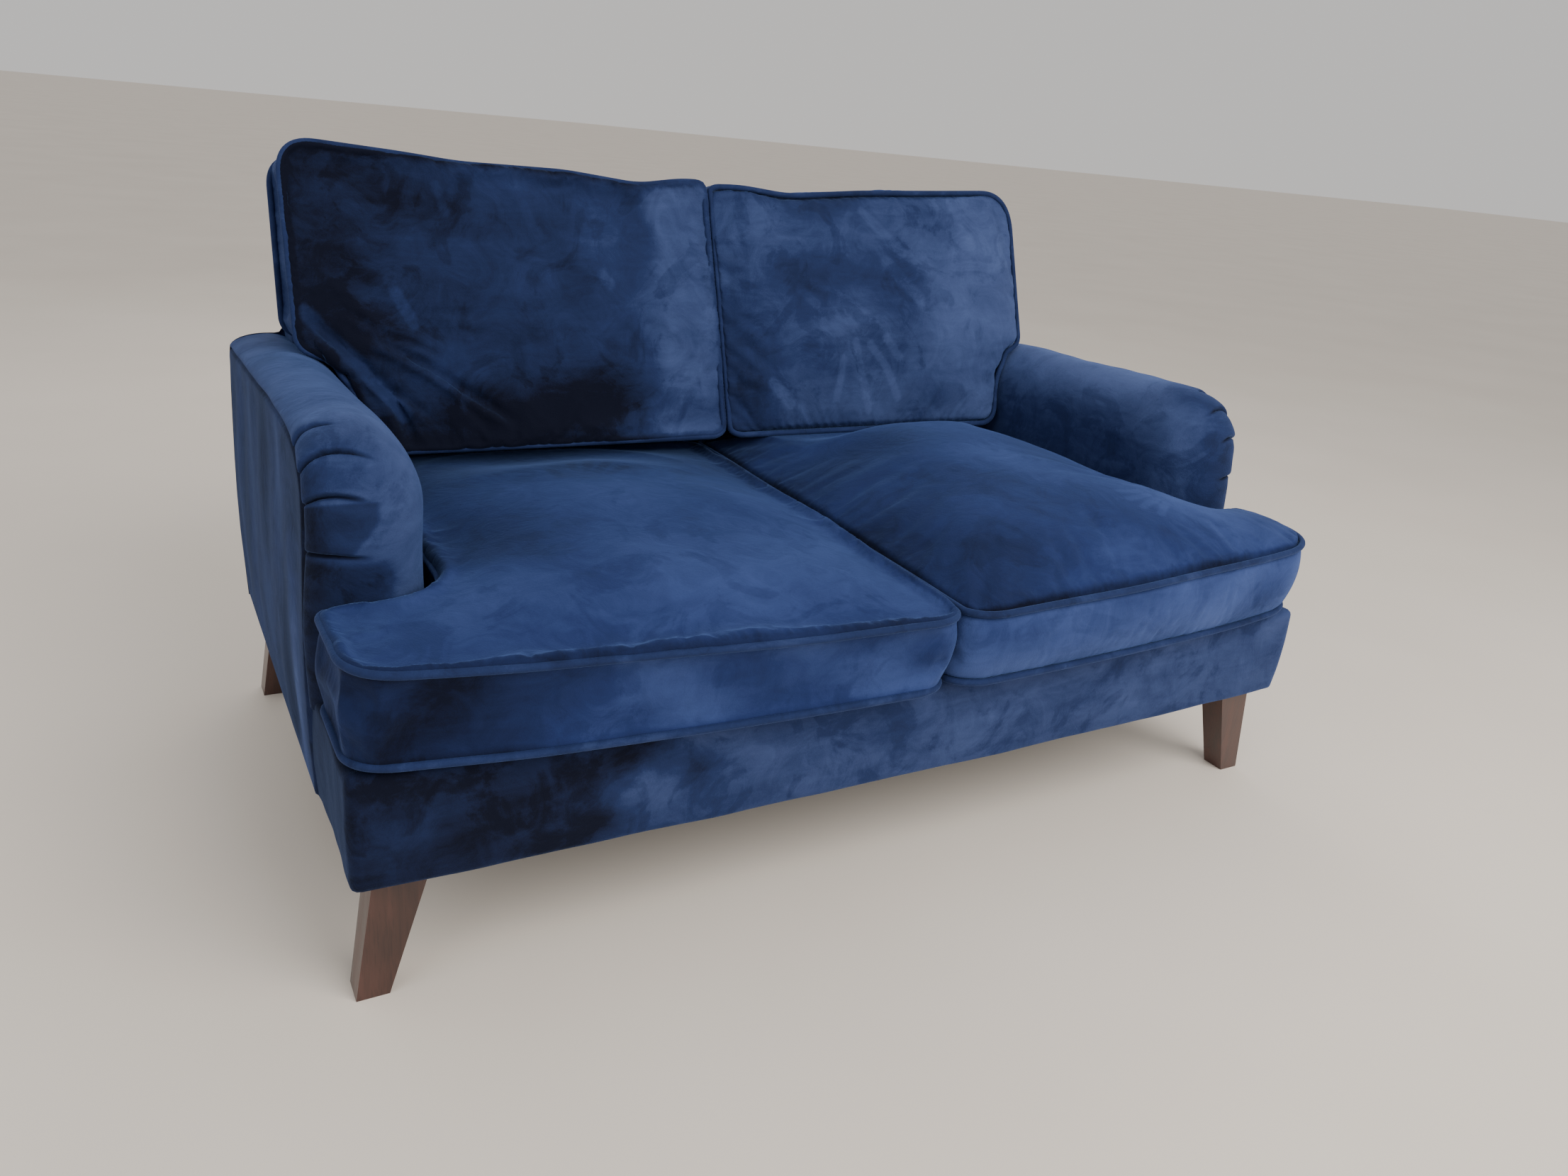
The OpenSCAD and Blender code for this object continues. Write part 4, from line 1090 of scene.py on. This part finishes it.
# ---- border ------------------------------------------------------------------------
def build_border():
    path = rounded([(-return_x, border_end + 20 * MM, 0), (-return_x, front_y, 12 * MM),
                    (return_x, front_y, 12 * MM), (return_x, border_end + 20 * MM, 0)], 6 * MM, closed=False)
    bow = 10 * MM * (1 - (path[:, 0] / return_x) ** 2)
    front = smooth(front_y + 0.05, front_y + 0.01, path[:, 1])
    path[:, 1] -= bow * front
    tangent = np.gradient(path, axis=0)
    tangent /= np.linalg.norm(tangent, axis=1)[:, None]
    out = np.column_stack([tangent[:, 1], -tangent[:, 0]])
    height = deck_z - base_z
    section = rounded([(-28 * MM, 0, 0), (0, 0, 5 * MM), (0, height, 10 * MM),
                       (-40 * MM, height + 1 * MM, 0)], 4 * MM, closed=False)
    grid_out = section[:, 0] + 3.0 * MM * np.sin(np.clip(section[:, 1] / height, 0, 1) * math.pi)
    points = np.stack([path[:, None, 0] + out[:, None, 0] * grid_out,
                       path[:, None, 1] + out[:, None, 1] * grid_out,
                       np.broadcast_to(base_z + section[:, 1], (len(path), len(section)))], 2)
    flat = points.reshape(-1, 3)
    side = np.repeat(out, len(section), 0)
    rise = 1.3 * MM * waves(flat * (1, 1, 0.6), 0.16, 5) + 0.5 * MM * waves(flat, 0.05, 6)
    flat[:, :2] += side * rise[:, None]
    rows, columns = len(path), len(section)
    faces = [(i * columns + j, (i + 1) * columns + j, (i + 1) * columns + j + 1, i * columns + j + 1)
             for i in range(rows - 1) for j in range(columns - 1)]
    obj = new_object("border_cloth", flat, faces, body_velvet)
    patch = waves(flat * (1, 1, 1.5), 0.13, 21)
    # Darker towards the left end of the front, and the left return painted darker still: painted shade on the
    # side turned away from the light; patch is random tone.
    nap_and_painted_light = 0.13 + 0.05 * patch - 0.42 * smooth(-0.30, -0.52, flat[:, 0] + 0.06 * patch)
    keep(obj, "nap_and_painted_light", nap_and_painted_light - 0.30 * smooth(front_y + 0.01, front_y + 0.08, flat[:, 1]) * (flat[:, 0] < 0))
    settle(obj, "frame", "velvet", "border_cover", "border_padding")


def build_deck():
    """The cloth that the seat cushions lie on, pulled tight over the springs' pad."""
    low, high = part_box("seat_deck")
    side_gap, front_gap = 12 * MM, 14 * MM
    left, front = low.x + side_gap, low.y + front_gap
    outline = rounded([(left, front, 0.03), (-left, front, 0.03), (-left, high.y, 0.01),
                       (left, high.y, 0.01)], 9 * MM)
    flat, faces = panel(outline, 18 * MM)
    z = high.z - 0.5 * MM + 0.4 * MM * waves(flat, 0.12, 71)
    obj = new_object("seat_deck_cloth", np.column_stack([flat, z]), faces, deck_cloth)
    settle(obj, "frame", "deck_cloth", "seat_deck")


# ---- fixed back --------------------------------------------------------------------
def build_fixed_back():
    half = 0.630
    low_z = arm_top - ARM_FALL
    under_z = deck_z - 12 * MM
    right_half = [(inner_x - 1 * MM, under_z, 0.0), (inner_x - 1 * MM, 0.500, 0.03),
                  (0.600, low_z - 26 * MM, 0.02), (half, low_z - 8 * MM, 0.01), (half, back_z, 0.035)]
    left_half = [(-x, z, r) for x, z, r in reversed(right_half)]
    outline = rounded(right_half + left_half, 9 * MM)
    edge_r = 20 * MM
    rims = tuple(edge_r * t for t in (0.05, 0.2, 0.45, 0.75, 1.0))
    flat, faces = panel(outline, 16 * MM, rims)
    far, _ = nearest(outline, flat)
    x, z = flat.T
    inset = np.clip(edge_r - far, 0, edge_r)
    back = edge_r - np.sqrt(np.maximum(edge_r ** 2 - inset ** 2, 0))
    y = back_face(z) + back + 1.0 * MM * waves(flat, 0.2, 91)
    n = len(outline)
    points = [np.column_stack([x, y, z])]
    steps = 5
    for k in range(1, steps + 1):
        y_end = outer_face(outline[:, 1]) - 4 * MM
        points.append(np.column_stack([outline[:, 0], lerp(y[:n], y_end, k / steps), outline[:, 1]]))
    count = len(flat)
    loops = [np.arange(n)] + [count + k * n + np.arange(n) for k in range(steps)]
    for near, away in zip(loops[:-1], loops[1:]):
        for i in range(n):
            j = (i + 1) % n
            faces.append((near[j], near[i], away[i], away[j]))
    obj = new_object("fixed_back_cloth", np.vstack(points), faces, body_velvet)
    keep(obj, "nap_and_painted_light", np.zeros(len(obj.data.vertices)))
    settle(obj, "frame", "velvet", "back_cover", "back_padding")

    fall = seam_depth(np.array([2.0]))[0]
    turn = np.linspace(0, 0.5 * math.pi, 9)
    right_half = [(side_face(z), z, 0) for z in np.linspace(base_z, low_z - fall, 8)[:-1]]
    right_half += [(crown_x + math.cos(t) * (side_x - SEAM_IN - crown_x), low_z - fall * (1 - math.sin(t)), 0)
                   for t in turn]
    right_half += [(half + 6 * MM, low_z, 0.010), (half, low_z + 16 * MM, 0.012), (half, back_z, 0.035)]
    left_half = [(-x, z, r) for x, z, r in reversed(right_half)]
    outline = rounded(right_half + left_half, 7 * MM)
    flat, faces = panel(outline, 13 * MM)
    far, _ = nearest(outline, flat)
    x, z = flat.T
    y = outer_face(z) - 5 * MM * bell(far, 3.5 * MM) - 1 * MM
    loose = 1.5 * MM * waves(flat * (1, 0.4), 0.16, 93) + 0.7 * MM * waves(flat, 0.07, 94)
    y += loose * smooth(0, 0.04, far)
    obj = new_object("outer_back_cloth", np.column_stack([x, y, z]), faces, body_velvet, flip=True)
    keep(obj, "nap_and_painted_light", 0.06 * waves(flat, 0.2, 95))
    settle(obj, "frame", "velvet", "outer_back")


for which in SIDES:
    build_seat(which)
    build_back(which)
    build_arm(which)
build_border()
build_deck()
build_fixed_back()

# ---- floor, light and camera -------------------------------------------------------
floor_mesh = bpy.data.meshes.new("floor")
reach = 60.0
floor_mesh.from_pydata([(-reach, -reach, 0), (reach, -reach, 0), (reach, reach, 0), (-reach, reach, 0)],
                       [], [(0, 1, 2, 3)])
floor = bpy.data.objects.new("floor", floor_mesh)
bpy.context.scene.collection.objects.link(floor)
pale = Shader("pale_floor")
pale.set(Base_Color=pale.ramp(pale.noise(1.5, 3), (0.3, (0.76, 0.69, 0.61)), (0.7, (0.80, 0.73, 0.65))),
         Roughness=0.65)
floor.data.materials.append(pale.material)


def area_light(name, place, aim, size, power, colour):
    data = bpy.data.lights.new(name, "AREA")
    data.size = size
    data.energy = power
    data.color = colour
    lamp = bpy.data.objects.new(name, data)
    lamp.location = place
    lamp.rotation_euler = (Vector(aim) - Vector(place)).to_track_quat("-Z", "Y").to_euler()
    bpy.context.scene.collection.objects.link(lamp)


area_light("key", (0.8, -2.7, 2.5), (0, 0, 0.4), 2.6, 120, (1.0, 0.97, 0.93))
area_light("fill", (-3.2, -1.5, 1.9), (0, 0, 0.4), 2.4, 28, (0.93, 0.96, 1.0))
area_light("rear", (0.6, 2.8, 2.6), (0, 0, 0.5), 2.4, 24, (1.0, 0.98, 0.96))
world = bpy.data.worlds.new("studio")
world.use_nodes = True
world.node_tree.nodes["Background"].inputs["Color"].default_value = (0.94, 0.92, 0.90, 1)
world.node_tree.nodes["Background"].inputs["Strength"].default_value = 0.70
bpy.context.scene.world = world
bpy.context.scene.view_settings.view_transform = "AgX"

camera = bpy.data.objects.new("camera", bpy.data.cameras.new("camera"))
camera.data.sensor_width = 36.0
camera.data.lens = 26.58
camera.data.clip_end = 60
heading, pitch, roll = (math.radians(a) for a in (31.451, -21.760, 5.670))
ahead = Vector((math.sin(heading) * math.cos(pitch), math.cos(heading) * math.cos(pitch), math.sin(pitch)))
level = ahead.cross(Vector((0, 0, 1))).normalized()
right = level * math.cos(roll) + level.cross(ahead) * math.sin(roll)
camera.matrix_world = Matrix.Translation((-0.869, front_y - 1.042, 0.934)) @ Matrix(
    (right, right.cross(ahead), -ahead)).transposed().to_4x4()
bpy.context.scene.collection.objects.link(camera)
bpy.context.scene.camera = camera
